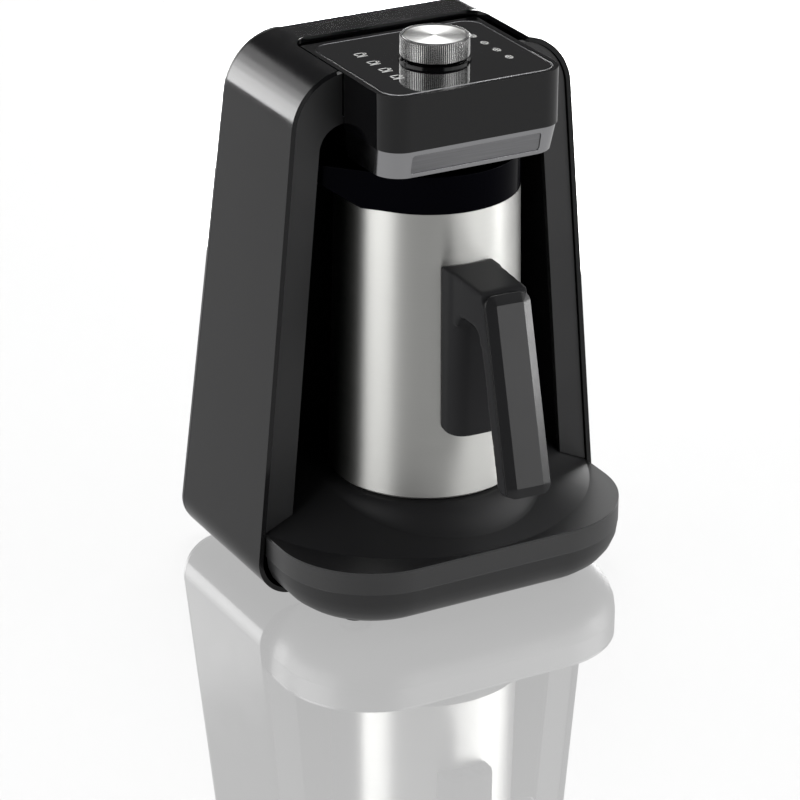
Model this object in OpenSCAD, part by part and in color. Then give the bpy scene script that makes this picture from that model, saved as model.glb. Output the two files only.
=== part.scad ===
// Electric Turkish coffee maker with a lift-out steel pot.
// Millimetres, +Z up, the front faces -Y, the floor is Z = 0.
// The origin lies on the floor under the middle of the whole object, pot handle included.

/* [Shell] */
// Width between the shell's sides at floor level
shell_w = 188; // [180:1:200]
// Width between the shell's sides at the height of its top
shell_top_w = 142; // [136:1:152]
// Height of the shell's top above the floor
shell_h = 261; // [256:1:275]
// Depth of the shell at floor level
shell_depth = 83; // [80:1:95]
// How far the rear face comes forward by the top
rear_lean = 17.5; // [10:0.5:18]
// Gap between the shell and the floor
shell_lift = 3.2; // [2.6:0.1:4]
// Wall of the shell and of the moulded covers
wall = 2.4; // [2:0.1:2.8]
// Radius of the shell's rolled top corners
shell_top_r = 29; // [25:1:32]
// Radius of the shell's rolled bottom corners
shell_foot_r = 18.5; // [16:0.5:20]
// Width of the opening in the shell's underside
belly_w = 134; // [126:1:138]

/* [Front] */
// How far the fascia sits behind the shell's front edge
fascia_set = 1.2; // [0.6:0.1:2]
// Thickness of the fascia
fascia_t = 3; // [2:0.1:4]
// Width of the niche at the height of the tray
niche_w = 148; // [144:1:152]
// Width of the niche at its top
niche_top_w = 115; // [113:1:120]
// Distance from the shell's top down to the niche's top
niche_drop = 27; // [25:0.1:27.6]
// Radius of the niche's top corners
niche_r = 13; // [10:1:16]
// Depth of the niche behind the shell's front edge
niche_depth = 56; // [54:1:58]
// Radius of the niche's upright rear corners
niche_back_r = 42; // [30:1:44]
// Wall of the niche liner and of the tub below the head
liner_t = 1.8; // [1.4:0.1:1.9]

/* [Tray] */
// How far the tray reaches in front of the shell
tray_proj = 63.5; // [60:0.5:70]
// Radius of the tray's front corners
tray_r = 47; // [40:1:50]
// Height of the tray's rim above the floor
tray_top = 36.3; // [34:0.1:38]
// Height of the seam between the tray and the pan below it
tray_seam = 24.9; // [22:0.1:28]
// Radius of the tray's crowned middle where it meets the flat rim
crown_r = 92; // [86:1:96]
// Slope of the crown, rise over run
crown_slope = 0.5; // [0.44:0.01:0.6]
// How far the crown's centre lies behind the shell's front edge
crown_back = 29.5; // [26:0.5:33]
// Height of the seat that the pot stands on
seat_z = 54.2; // [52:0.1:56]
// Diameter of the raised seat
seat_d = 94.4; // [93:0.2:97]
// Width of the seat's edge outside the heater's seal
seat_rim = 4.2; // [3.8:0.1:5]
// Radius of the hollow blend round the raised seat
seat_blend = 6; // [3:0.5:8]

/* [Feet] */
// Diameter of a foot
foot_d = 15; // [12:0.5:18]
// Distance from the middle to the front feet, across
foot_x = 56; // [50:1:58]
// Distance from the shell's front edge to the front feet
foot_front = 29; // [24:1:31]
// Distance from the shell's front edge back to the rear feet
foot_rear = 66; // [58:1:68]

/* [Head] */
// Width of the head
head_w = 92.8; // [90:0.4:96]
// How far the head reaches in front of the shell
head_proj = 41.3; // [39:0.1:44]
// How far the head reaches behind the shell's front edge
head_back = 43; // [40:0.5:46]
// Height of the head's black block
head_h = 26.4; // [25:0.1:27]
// How far the head's top lies below the shell's top
head_drop = 2.6; // [2:0.1:4]
// Radius of the head's front corners
head_r = 12; // [10:0.5:14]
// Open groove between the head and the shell's top
head_groove = 3.6; // [2.6:0.1:4]
// Height of the metal trim below the block
trim_h = 13.5; // [11:0.1:14]
// How far the trim's front leans inward at its bottom
trim_lean = 3.2; // [2:0.1:4]
// Width of the shiny rim round the control panel
bezel_w = 0.9; // [0.6:0.1:1.4]
// Thickness of the control panel
panel_t = 2; // [1.5:0.1:2.2]
// Margin between the head's edge and the shiny rim
panel_margin = 2.4; // [2:0.1:3.4]
// Distance from the middle to a column of lamps
lamp_x = 30.5; // [28:0.5:32]
// Spacing of the lamps in a column
lamp_pitch = 11.6; // [10:0.1:12.4]
// Diameter of a lamp's light guide
lamp_d = 4; // [3:0.1:4.4]

/* [Knob] */
// Diameter of the knob
knob_d = 32.2; // [30:0.1:34]
// Height of the knob
knob_h = 9.7; // [8.5:0.1:12]
// Distance from the head's front to the knob's axis
knob_in = 41; // [39:0.5:43]
// Number of ridges round the knob
knob_ridges = 72; // [48:2:84]
// Depth of the grooves between the ridges
knob_groove = 0.5; // [0.3:0.1:0.7]
// How far the knob travels when pressed
press_travel = 0.7; // [0.4:0.1:0.9]
// Diameter of the encoder's shaft
shaft_d = 6; // [5:0.1:6.4]

/* [Pot] */
// Diameter of the steel pot at its foot
pot_foot_d = 92.2; // [90:0.2:93]
// Diameter of the steel pot at its rim
pot_rim_d = 86.8; // [85:0.2:88]
// Gap between the collar's top and the trim above it
pot_gap = 3.8; // [3:0.1:6]
// Wall of the steel pot
pot_wall = 1; // [0.8:0.1:1.4]
// Height of the black collar above the steel
collar_h = 18.2; // [15:0.1:19]
// Wall of the collar
collar_wall = 2.2; // [1.8:0.1:2.6]
// Distance from the pot's axis to the tip of the spout
spout_reach = 57; // [52:0.5:58]
// Distance from the shell's front edge back to the pot's axis
pot_back = 5.7; // [4:0.1:7]
// Angle by which the handle stands round from straight ahead
handle_turn = 3.6; // [0:0.2:8]

/* [Handle] */
// Distance from the pot's axis to the front of the grip at its lower end
grip_reach = 111.6; // [105:0.2:118]
// Slant of the grip from upright
grip_slant = 16.4; // [10:0.2:20]
// Width of the grip
grip_w = 22.6; // [21:0.2:26]
// Depth of the grip behind its cap
grip_depth = 8.2; // [7:0.2:10]
// Length of the grip along its slant
grip_len = 91.5; // [86:0.5:96]
// Radius of the grip's corners
grip_r = 5; // [5:0.2:7]
// Distance from the handle's top down to the cap's top
grip_drop = 1.4; // [1:0.1:2.4]
// Thickness of the grip's front cap
cap_t = 3.6; // [3:0.1:4.5]
// Depth of the chamfer round the cap
cap_chamfer = 2; // [1:0.1:2.4]
// Width of the chamfer round the cap
cap_margin = 4.6; // [3:0.1:4.8]
// Width of the spine that lies on the pot
spine_w = 26.4; // [25:0.2:29]
// Distance from the pot's axis to the spine's outer face
spine_reach = 58; // [54:0.5:60]
// Radius of the spine's front corners
spine_r = 8; // [5:0.5:9]
// Height of the spine
spine_h = 81; // [78:0.5:85]
// Distance from the pot's steel rim down to the handle's top
arm_drop = 24.4; // [22:0.1:27]
// Thickness of the arm that joins the spine to the grip
arm_t = 18; // [14:0.2:20]
// Radius of the round corners under the arm
bow_r = 7; // [4:0.5:9]

/* [Clearances] */
// Gap between pieces that fit into one another
fit_gap = 0.3; // [0.2:0.05:0.4]
// Radial clearance of a turning or sliding shaft
run_gap = 0.08; // [0.05:0.01:0.1]
// Gap between neighbouring circuit boards, or parts in the housing, and its wall
inner_gap = 1; // [0.6:0.1:1.6]

/* [Rear covers] */
// How far the rear covers stand behind the shell's rear edge
cover_proud = 2.4; // [1.6:0.1:3]
// How far the covers' edges lie inside the shell's outline
cover_inset = 0.8; // [0.4:0.1:1.2]
// How far the covers' rim reaches into the shell
cover_rim = 7; // [5:0.5:9]
// Height of the joint between the two rear covers
cover_split = 195; // [185:1:205]
// Diameter of the cord inlet's hole
inlet_d = 7.2; // [6:0.1:8]
// Height of the cord inlet above the floor
inlet_z = 46; // [42:1:52]
// Distance from the middle to the cord inlet, across
inlet_x = 48; // [40:1:52]
// Number of vent slots in a row
vent_n = 9; // [5:1:11]
// Width of a vent slot
vent_w = 3; // [2:0.5:4]
// Length of a vent slot
vent_l = 22; // [16:1:26]
// Spacing of the vent slots
vent_pitch = 8; // [6:0.5:10]

/* [Inside] */
// Thickness of a circuit board
board_t = 1.6; // [1.2:0.1:2]
// Thickness of the heater plate
plate_t = 3; // [2:0.2:4]
// Radius of the ring that the heating element forms
element_r = 26; // [20:1:30]
// Diameter of the heating element's tube
element_d = 7; // [6:0.2:8]
// Diameter of the overflow sensor's lens
lens_d = 12; // [10:0.5:14]
// Diameter of the screws' shanks
screw_d = 3; // [2.6:0.1:3.4]
// Length of the screws' shanks
screw_l = 8; // [7.4:0.2:8.8]

/* [Hidden] */

$fn = 96;

BLACK = "#2b2b2c";
GLOSS = "#141415";
DARK = "#202021";
STEEL = "#c9c9c6";
TRIM = "#b9b9b8";
ALU = "#c2c2c0";
BOARD = "#2f6b4a";
RUBBER = "#1b1b1b";
BRASS = "#b59a5b";
CREAM = "#e6e2d6";
SMOKE = "#3a1414";
SILICONE = "#7d2a20";
GREY = "#8c8c8a";

// How far a cutting body runs past what it cuts
over = 9;
// Radial clearance of a screw in its hole
screw_gap = 0.1;
head_d = screw_d + 2.6;
screw_head_t = 1.8;
boss_d = screw_d + 4;
// Narrow gap round a piece that is bonded or clipped in its recess
seat_gap = 0.05;

side_k = (shell_w - shell_top_w) / 2 / shell_h;
rear_k = rear_lean / shell_h;

// The whole object is centred front to back between the grip's front and the lower rear cover.
face_r = grip_r - cap_margin;
grip_front = (grip_reach - grip_r * sin(grip_slant)) * cos(handle_turn)
    + (grip_w / 2 - grip_r) * sin(handle_turn)
    + face_r * sqrt(pow(sin(handle_turn), 2) + pow(sin(grip_slant) * cos(handle_turn), 2));
rear_reach = shell_depth + cover_proud - rear_k * (shell_lift + cover_inset);
front_y = (grip_front - pot_back - rear_reach) / 2;
rear_y = front_y + shell_depth;

tray_hw = shell_w / 2 - side_k * tray_top - wall / cos(atan(side_k)) - fit_gap;
tray_front = front_y - tray_proj;
tray_in = tray_top - wall;
crown_y = front_y + crown_back;
crown_flat = crown_r - (seat_z - tray_top) / crown_slope;
deck_back = rear_y - rear_k * tray_top - cover_rim - fit_gap;

niche_top = shell_h - niche_drop;
niche_k = (niche_w - niche_top_w) / 2 / (niche_top - tray_top);
niche_w0 = niche_w / 2 + niche_k * tray_top;
niche_back = front_y + niche_depth;

head_top = shell_h - head_drop;
head_z = head_top - head_h;
head_front = front_y - head_proj;
head_rear = front_y + head_back;
head_hw = head_w / 2;
trim_z = head_z - trim_h;
bridge = 3.5;
under_z = trim_z + 1;

panel_z = head_top - panel_t;
ceiling_z = panel_z - wall;
panel_in = panel_margin + bezel_w;
board_drop = 5.4;
board_top = ceiling_z - board_drop;
board_z = board_top - board_t;
knob_y = head_front + knob_in;
ring_t = 0.8;
knob_z = head_top + ring_t + press_travel + fit_gap;
knob_top = knob_z + knob_h;

pot_y = front_y + pot_back;
pot_z = seat_z + fit_gap;
pot_r0 = pot_foot_d / 2;
pot_r1 = pot_rim_d / 2;
pot_h = trim_z - pot_gap - collar_h - pot_z;
pot_rim = pot_z + pot_h;
pot_k = (pot_r0 - pot_r1) / pot_h;
collar_top = pot_rim + collar_h;

arm_top = pot_rim - arm_drop;
spine_low = arm_top - spine_h;
grip_low = arm_top - grip_drop - grip_len * cos(grip_slant);

seat_r = seat_d / 2;
seal_w = 3;
heater_r = seat_r - seat_rim - seal_w;
plate_z = seat_z - plate_t;
ledge_z = plate_z - wall;

fascia_y = front_y + fascia_set;
liner_y = fascia_y + fascia_t;

// Stretches a flat outline, drawn across and up, along Y.
module along_y(y0, y1) translate([0, y1, 0]) rotate([90, 0, 0])
    linear_extrude(height = y1 - y0) children();

// Stretches a flat outline, drawn along Y and up, along X.
module along_x(x0, x1) translate([x0, 0, 0]) rotate([90, 0, 90])
    linear_extrude(height = x1 - x0) children();

// A plain block given by two opposite corners.
module block(lo, hi) translate(lo) cube(hi - lo);

// Repeats its children on both sides of the middle.
module both_sides(x) for (s = [-1, 1]) translate([s * x, 0, 0]) children();

// A pan-head screw. Its shank starts at the origin and its head is at the far end, up.
module screw() {
    cylinder(d = screw_d, h = screw_l);
    translate([0, 0, screw_l]) cylinder(d = head_d, h = screw_head_t);
}

// The hole for that screw's shank, from a little below its tip.
module screw_hole() translate([0, 0, -1]) cylinder(r = screw_d / 2 + screw_gap, h = screw_l + 2);

// The pocket for that screw's head, open upward.
module head_pocket() translate([0, 0, screw_l]) cylinder(r = head_d / 2 + fit_gap, h = over);

// How far a straight side runs inside the arcs that it joins, so that it crosses them
graze = 0.02;

// A flat outline with leaning sides and four true arcs. Half its width is w0 at height 0
// and shrinks by k for each millimetre of height.
module leaning_outline(w0, k, z0, z1, r0, r1, inset) {
    a = atan(k);
    d = w0 * cos(a) - inset;
    lo = z0 + inset;
    hi = z1 - inset;
    rl = r0 - inset;
    rh = r1 - inset;
    xl = (d - rl - (lo + rl) * sin(a)) / cos(a);
    xh = (d - rh - (hi - rh) * sin(a)) / cos(a);
    pl = rl - graze;
    ph = rh - graze;
    polygon([
        [-xl, lo], [xl, lo],
        [xl + pl * cos(a), lo + rl + pl * sin(a)],
        [xh + ph * cos(a), hi - rh + ph * sin(a)],
        [xh, hi], [-xh, hi],
        [-xh - ph * cos(a), hi - rh + ph * sin(a)],
        [-xl - pl * cos(a), lo + rl + pl * sin(a)]
    ]);
    for (s = [-1, 1]) {
        translate([s * xl, lo + rl]) circle(r = rl);
        translate([s * xh, hi - rh]) circle(r = rh);
    }
}

// The shell's front outline, moved inward by inset.
module shell_outline(inset)
    leaning_outline(shell_w / 2, side_k, shell_lift, shell_h, shell_foot_r, shell_top_r, inset);

// The niche's opening, moved inward by inset. Its foot runs straight down past the tray.
module niche_outline(inset) {
    a = atan(niche_k);
    d = niche_w0 * cos(a) - inset;
    r = niche_r - inset;
    hi = niche_top - inset;
    xh = (d - r - (hi - r) * sin(a)) / cos(a);
    low = tray_seam - 5;
    xl = (d - low * sin(a)) / cos(a);
    polygon([
        [-xl, low], [xl, low],
        [xh + r * cos(a), hi - r + r * sin(a)],
        [xh, hi], [-xh, hi],
        [-xh - r * cos(a), hi - r + r * sin(a)]
    ]);
    for (s = [-1, 1]) translate([s * xh, hi - r]) circle(r = r);
}

// Everything in front of the leaning rear plane, which is moved back by o.
module before_rear(o) along_x(-shell_w, shell_w)
    polygon([
        [front_y - 1, -1],
        [rear_y + o + rear_k, -1],
        [rear_y + o - rear_k * (shell_h + 5), shell_h + 5],
        [front_y - 1, shell_h + 5]
    ]);

// The rear plane's place at a height above the floor.
function rear_at(z) = rear_y - rear_k * z;

// A flat rectangle with four true round corners.
module round_rect(x0, x1, y0, y1, r) {
    translate([x0 + r, y0]) square([x1 - x0 - 2 * r, y1 - y0]);
    translate([x0, y0 + r]) square([x1 - x0, y1 - y0 - 2 * r]);
    for (x = [x0 + r, x1 - r], y = [y0 + r, y1 - r]) translate([x, y]) circle(r = r);
}

// A flat plan with round front corners and a square back.
module nose_plan(hw, front, back, r) {
    translate([-hw + graze, front + r]) square([2 * (hw - graze), back - front - r]);
    translate([-hw + r, front + graze]) square([2 * (hw - r), r]);
    for (s = [-1, 1]) translate([s * (hw - r), front + r]) circle(r = r);
}

// The tray's crown about its own centre, raised by o.
module crown(o) translate([0, crown_y, 0]) rotate_extrude() polygon([
    [0, tray_seam], [crown_r, tray_seam], [crown_r, tray_top + o],
    [crown_flat, seat_z + o], [0, seat_z + o]
]);

// Everything that the tray's deck fills, grown upward by o: the fascia and the liner stand on it.
module deck_space(o) {
    block([-shell_w, tray_front - over, 0], [shell_w, rear_y + over, tray_top + o]);
    crown(o);
}

module outer_shell() color(BLACK) {
    difference() {
        intersection() {
            along_y(front_y, rear_y + 2) shell_outline(0);
            before_rear(0);
        }
        along_y(front_y - 1, rear_y + 3) shell_outline(wall);
        block([-belly_w / 2, front_y - 1, 0], [belly_w / 2, rear_y + 3, shell_lift + wall + 1]);
        block([-head_hw - head_groove, front_y - 1, shell_h - wall - 2],
              [head_hw + head_groove, head_rear + head_groove, shell_h + 1]);
    }
    // lugs inside the side walls, into which the rear cover is screwed
    difference() {
        intersection() {
            rear_points() {
                translate([0, 0, -lug_l]) cylinder(d = boss_d, h = lug_l);
                translate([-boss_d / 2, -1.5, -lug_l]) cube([boss_d / 2 + over, 3, lug_l]);
            }
            along_y(front_y, rear_y) shell_outline(wall / 2);
        }
        rear_points() translate([0, 0, rear_face - screw_l]) screw_hole();
    }
}

// Length of the shell's lugs
lug_l = 14;
// Distance from the lugs' rear face to the seat of the screws' heads
rear_face = cover_rim - 0.6;

// Places its children at the rear cover's four screws, with +Z to the rear and +X outward,
// where the shell's lugs end.
module rear_points() for (z = [60, 168], s = [0, 1]) mirror([s, 0, 0])
    translate([shell_w / 2 - side_k * z - wall - boss_d / 2 - 1.5, rear_at(z) - cover_rim - fit_gap, z])
        rotate([-90, 0, 0]) children();

module front_fascia() color(DARK) difference() {
    along_y(fascia_y, liner_y) difference() {
        shell_outline(wall + fit_gap);
        niche_outline(0);
        translate([-head_hw - fit_gap, niche_top + bridge]) square([head_w + 2 * fit_gap, shell_h]);
    }
    deck_space(fit_gap);
}

// Plan of the niche's inside, with round rear corners.
module niche_plan(inset) {
    hw = niche_w0 - inset;
    back = niche_back - inset;
    r = niche_back_r - inset;
    translate([-hw, liner_y - 1]) square([2 * hw, back - r - liner_y + 1]);
    translate([-hw + r, liner_y - 1]) square([2 * (hw - r), back - liner_y + 1]);
    for (s = [-1, 1]) translate([s * (hw - r), back - r]) circle(r = r);
}

module niche_liner() color(DARK) {
    difference() {
        intersection() {
            along_y(liner_y, niche_back + over) niche_outline(-liner_t);
            linear_extrude(height = shell_h) niche_plan(-liner_t);
        }
        intersection() {
            along_y(liner_y - 1, niche_back + over) niche_outline(0);
            linear_extrude(height = shell_h) niche_plan(0);
        }
        deck_space(fit_gap);
    }
    // posts that hold the power board
    power_points() difference() {
        translate([0, 0, -post_l - liner_t / 2]) cylinder(d = boss_d, h = post_l + liner_t / 2);
        translate([0, 0, board_t - screw_l]) screw_hole();
    }
}

// Height of the power board's posts
post_l = 9;
pcb_y = niche_back + liner_t + post_l;
pcb_z = 62;
pcb_h = 66;
pcb_hw = 36;

// Places its children on the ends of the power board's posts, with +Z to the rear.
module power_points() for (s = [-1, 1], z = [pcb_z + boss_d / 2 + 1, pcb_z + pcb_h - boss_d / 2 - 1])
    translate([s * (pcb_hw - boss_d / 2 - 1), pcb_y, z]) rotate([-90, 0, 0]) children();

// One leaf of the rear cover between two heights: a plate behind the shell's edge and a rim inside it.
module rear_cover(z0, z1) intersection() {
    difference() {
        union() {
            difference() {
                intersection() {
                    along_y(front_y, rear_y + over) shell_outline(cover_inset);
                    before_rear(cover_proud);
                }
                before_rear(fit_gap);
            }
            difference() {
                intersection() {
                    along_y(front_y, rear_y + over) shell_outline(wall + fit_gap);
                    before_rear(fit_gap);
                }
                before_rear(-cover_rim);
            }
        }
        intersection() {
            along_y(front_y, rear_y + over) shell_outline(2 * wall + fit_gap);
            before_rear(cover_proud - wall);
        }
    }
    block([-shell_w, front_y, z0], [shell_w, rear_y + over, z1]);
}

gland_r = inlet_d / 2 + 3;
gland_flange_r = gland_r + 2;
gland_flange_t = 2;
// The inlet's face stands square to the cord, in a shallow round recess of the leaning cover.
inlet_face = rear_at(inlet_z) + cover_proud - gland_flange_t - 0.3;
gland_y0 = inlet_face - wall - gland_flange_t - 2;
gland_len = inlet_face + gland_flange_t - gland_y0;

module rear_cover_lower() color(DARK) difference() {
    union() {
        rear_cover(shell_lift, cover_split - fit_gap / 2);
        intersection() {
            union() {
                at_inlet(inlet_face - wall) cylinder(r = gland_flange_r + 2, h = over);
                rear_points() translate([0, 0, fit_gap]) cylinder(d = head_d + 3, h = cover_rim + 2);
            }
            before_rear(cover_proud);
        }
    }
    for (i = [0:vent_n - 1], z = [vent_z, vent_z + vent_l + vent_gap])
        translate([(i - (vent_n - 1) / 2) * vent_pitch - vent_w / 2, rear_y - rear_lean, z])
            cube([vent_w, rear_lean + over, vent_l]);
    at_inlet(inlet_face) cylinder(r = gland_flange_r + fit_gap, h = over);
    at_inlet(inlet_face - over) cylinder(r = gland_r + fit_gap / 2, h = 2 * over);
    rear_points() translate([0, 0, rear_face - screw_l]) {
        screw_hole();
        head_pocket();
    }
}

vent_z = 96;
vent_gap = 12;

// Places its children round the cord inlet's axis at a depth, with +Z to the rear.
module at_inlet(y) translate([-inlet_x, y, inlet_z]) rotate([-90, 0, 0]) children();

module rear_cover_upper() color(DARK) rear_cover(cover_split + fit_gap / 2, shell_h);

module base_tray() color(BLACK) {
    difference() {
        union() {
            translate([0, 0, tray_seam]) linear_extrude(height = tray_top - tray_seam)
                nose_plan(tray_hw, tray_front, deck_back, tray_r);
            intersection() {
                crown(0);
                linear_extrude(height = shell_h)
                    nose_plan(tray_hw, tray_front, niche_back + liner_t, tray_r);
            }
            seat();
        }
        // hollow below the deck
        translate([0, 0, tray_seam - 1]) linear_extrude(height = tray_in - tray_seam + 1)
            nose_plan(tray_hw - wall, tray_front + wall, deck_back - wall, tray_r - wall);
        // hollow below the crown, outside the heater well
        difference() {
            intersection() {
                crown(-wall);
                linear_extrude(height = shell_h)
                    nose_plan(tray_hw - wall, tray_front + wall, niche_back + liner_t - wall, tray_r - wall);
            }
            translate([0, pot_y, 0]) cylinder(r = seat_r, h = shell_h);
        }
        // heater well, the opening through its ledge and the recess for the plate and its seal
        translate([0, pot_y, 0]) {
            cylinder(r = seat_r - wall, h = ledge_z);
            cylinder(r = heater_r - 6, h = seat_z);
            translate([0, 0, plate_z]) cylinder(r = heater_r + seal_w, h = over);
        }
        clamp_holes();
    }
    // bosses for the clamp in the well, and for the pan and the plate below
    difference() {
        clamp_points() translate([0, 0, clamp_z + clamp_t])
            cylinder(d = boss_d, h = ledge_z - clamp_z - clamp_t + 0.5);
        clamp_holes();
    }
    difference() {
        intersection() {
            floor_points() translate([0, 0, well_top]) cylinder(d = boss_d, h = seat_z);
            union() {
                block([-shell_w, tray_front, 0], [shell_w, deck_back, tray_in + wall / 2]);
                crown(-wall / 2);
            }
        }
        floor_points() translate([0, 0, well_top - 1]) cylinder(r = screw_d / 2 + screw_gap, h = screw_l);
    }
}

// The raised seat with the hollow blend round its foot.
module seat() translate([0, pot_y, 0]) rotate_extrude() difference() {
    translate([0, tray_in]) square([seat_r + seat_blend, seat_z - tray_in]);
    translate([seat_r + seat_blend, seat_z - seat_lip]) circle(r = seat_blend);
    translate([seat_r, seat_z - seat_lip]) square([seat_blend + 1, seat_blend]);
}

// Height of the seat's straight edge
seat_lip = 0.8;

// Places its children at the two ends of the heater's clamp.
module clamp_points() translate([0, pot_y, 0]) both_sides(heater_r - 1) children();

// The holes for the clamp's screws, which end below the heater plate.
module clamp_holes() clamp_points()
    translate([0, 0, clamp_z + clamp_t]) cylinder(r = screw_d / 2 + screw_gap, h = screw_l - clamp_t + fit_gap);

// Places its children at the screws that hold the pan and the plate to the tray.
module floor_points() {
    translate([0, front_y - 33, 0]) both_sides(36) children();
    translate([0, front_y + 12, 0]) both_sides(57) children();
    translate([0, front_y + 58, 0]) both_sides(40) children();
}

// The pan's outer form, moved inward by o: upright walls that roll under into the floor.
// Moved inward, it runs past the pan's top and back.
module pan_form(o) {
    past = o > 0 ? 1 : 0;
    r = tray_seam - shell_lift - o;
    intersection() {
        hull() {
            for (a = [0:15:75]) {
                inset = o + r * (1 - sin(a));
                translate([0, 0, shell_lift + o + r * (1 - cos(a))]) pan_slice(inset);
            }
            translate([0, 0, tray_seam + past - slice_t]) pan_slice(o);
        }
        block([-shell_w, tray_front - over, 0], [shell_w, front_y - fit_gap + past, shell_w]);
    }
}

// Thickness of the slices that span the pan's and the trim's forms
slice_t = 0.1;

module pan_slice(inset) linear_extrude(height = slice_t)
    nose_plan(tray_hw - inset, tray_front + inset, front_y, tray_r - inset, $fn = 64);

// Top of the raised wells in which the floor screws' heads lie
well_top = shell_lift + screw_head_t + wall;

// The wells, inside the front pan for side 1 and on the rear plate for side -1.
module wells(side) intersection() {
    floor_points() translate([0, 0, shell_lift]) cylinder(d = head_d + 4, h = well_top - shell_lift);
    block([-shell_w, side > 0 ? -shell_w : front_y, 0],
          [shell_w, side > 0 ? front_y : shell_w, well_top]);
}

module floor_holes() floor_points() {
    translate([0, 0, -1]) cylinder(r = screw_d / 2 + screw_gap, h = over);
    translate([0, 0, -1]) cylinder(r = head_d / 2 + fit_gap, h = shell_lift + screw_head_t + 1);
}

module base_pan() color(BLACK) difference() {
    union() {
        difference() {
            pan_form(0);
            pan_form(wall);
        }
        wells(1);
    }
    foot_points(1) cylinder(d = plug_d, h = over);
    floor_holes();
}

module base_plate() color(DARK) difference() {
    union() {
        block([-belly_w / 2 + fit_gap, front_y, shell_lift],
              [belly_w / 2 - fit_gap, rear_at(shell_lift) - cover_rim - fit_gap, shell_lift + wall]);
        wells(-1);
    }
    foot_points(-1) cylinder(d = plug_d, h = over);
    floor_holes();
    for (i = [-4:4]) translate([i * 7 - 1.5, front_y + 22, 0]) cube([3, 26, over]);
}

// Diameter of the plug by which a foot is held
plug_d = foot_d - 4;

// Places its children under the front feet for side 1 and under the rear feet for side -1.
module foot_points(side)
    translate([0, side > 0 ? front_y - foot_front : front_y + foot_rear, 0]) both_sides(foot_x) children();

module feet() color(RUBBER) for (side = [-1, 1]) foot_points(side) {
    rotate_extrude() polygon([
        [0, 0], [foot_d / 2 - 1, 0], [foot_d / 2, 1], [foot_d / 2, shell_lift], [0, shell_lift]
    ]);
    translate([0, 0, shell_lift]) cylinder(r = plug_d / 2 - seat_gap, h = wall + 1);
}

module head_plan(inset, back) nose_plan(head_hw - inset, head_front + inset, back, head_r - inset);

module panel_plan(o)
    round_rect(-head_hw + o, head_hw - o, head_front + o, head_rear - o, head_r - o);

// Width of the flange that closes the groove round the head
flange = 5;
flange_t = 2;

module head_housing() color(GLOSS) difference() {
    union() {
        difference() {
            union() {
                translate([0, 0, head_z]) linear_extrude(height = head_h) head_plan(0, front_y + 0.6);
                block([-head_hw, front_y, niche_top + bridge + fit_gap], [head_hw, head_rear, head_top]);
                block([-head_hw - flange, liner_y, ceiling_z - flange_t],
                      [head_hw + flange, head_rear + flange, ceiling_z]);
            }
            translate([0, 0, head_z - 1]) linear_extrude(height = ceiling_z - head_z + 1)
                head_plan(wall, front_y + 2);
            block([-head_hw + wall, front_y, niche_top], [head_hw - wall, head_rear - wall, ceiling_z]);
        }
        board_points() translate([0, 0, board_top]) cylinder(d = boss_d, h = board_drop + 0.5);
    }
    translate([0, 0, panel_z]) linear_extrude(height = panel_t + 1) panel_plan(panel_margin);
    lamp_points() translate([0, 0, ceiling_z - 1]) cylinder(d = lamp_d + 2 * fit_gap, h = wall + 2);
    translate([0, knob_y, ceiling_z - 1]) cylinder(r = bush_r + fit_gap, h = wall + 2);
    board_points() translate([0, 0, board_top - 1])
        cylinder(r = board_screw_d / 2 + screw_gap, h = board_drop + 1);
}

// Radius of the encoder's bush
bush_r = shaft_d / 2 + 1.5;

// Places its children at the lamps, in a column on each side of the knob.
module lamp_points() for (i = [0:3])
    translate([0, knob_y + (1.5 - i) * lamp_pitch, 0]) both_sides(lamp_x) children();

module control_panel() color(GLOSS) difference() {
    translate([0, 0, panel_z]) linear_extrude(height = panel_t) panel_plan(panel_in + seat_gap);
    translate([0, knob_y, panel_z - 1]) cylinder(r = bush_r + fit_gap, h = panel_t + 2);
}

module panel_bezel() color(TRIM) translate([0, 0, panel_z]) linear_extrude(height = panel_t) difference() {
    panel_plan(panel_margin + seat_gap);
    panel_plan(panel_in);
}

trim_t = 2;
trim_top_in = 0.4;
trim_low_in = 1.2;

// The trim's outer form, moved inward by o: its front and sides lean inward towards the bottom.
// Moved inward, it runs past the band's top, bottom and back.
module trim_form(o) {
    past = o > 0 ? 1 : 0;
    back = front_y - fit_gap + 2 * past;
    hull() {
        translate([0, 0, head_z + past - slice_t]) linear_extrude(height = slice_t)
            nose_plan(head_hw - trim_top_in - o, head_front + trim_top_in + o, back, head_r - o, $fn = 64);
        translate([0, 0, trim_z - past]) linear_extrude(height = slice_t)
            nose_plan(head_hw - trim_low_in - o, head_front + trim_lean + o, back, head_r + 1 - o, $fn = 64);
    }
}

module trim_band() color(TRIM) difference() {
    trim_form(0);
    trim_form(trim_t);
    trim_plate_space(0);
}

// Places its children on the trim's leaning front, at its bottom, with +Z up the slope.
module at_trim() translate([0, head_front + trim_lean, trim_z])
    rotate([atan((trim_lean - trim_top_in) / trim_h), 0, 0]) children();

// The blank plate lies in the leaning front face of the trim.
module trim_plate_space(o) at_trim() along_y(-2, plate_deep)
    round_rect(-head_hw + head_r + 1 + o, head_hw - head_r - 1 - o, 2 + o, trim_h - 2.2 - o, 1.5);

plate_deep = 1;
plate_sunk = 0.5;

module trim_plate() color(ALU) intersection() {
    trim_plate_space(seat_gap);
    at_trim() block([-head_hw, plate_sunk, -over], [head_hw, plate_deep, trim_h + over]);
}

// How far the tub below the head lies inside the head's sides
tub_in = 4;
tub_front = head_front + trim_lean + trim_t + 1.2;
tub_back = niche_back - 14;
tub_floor = under_z + liner_t;

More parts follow.
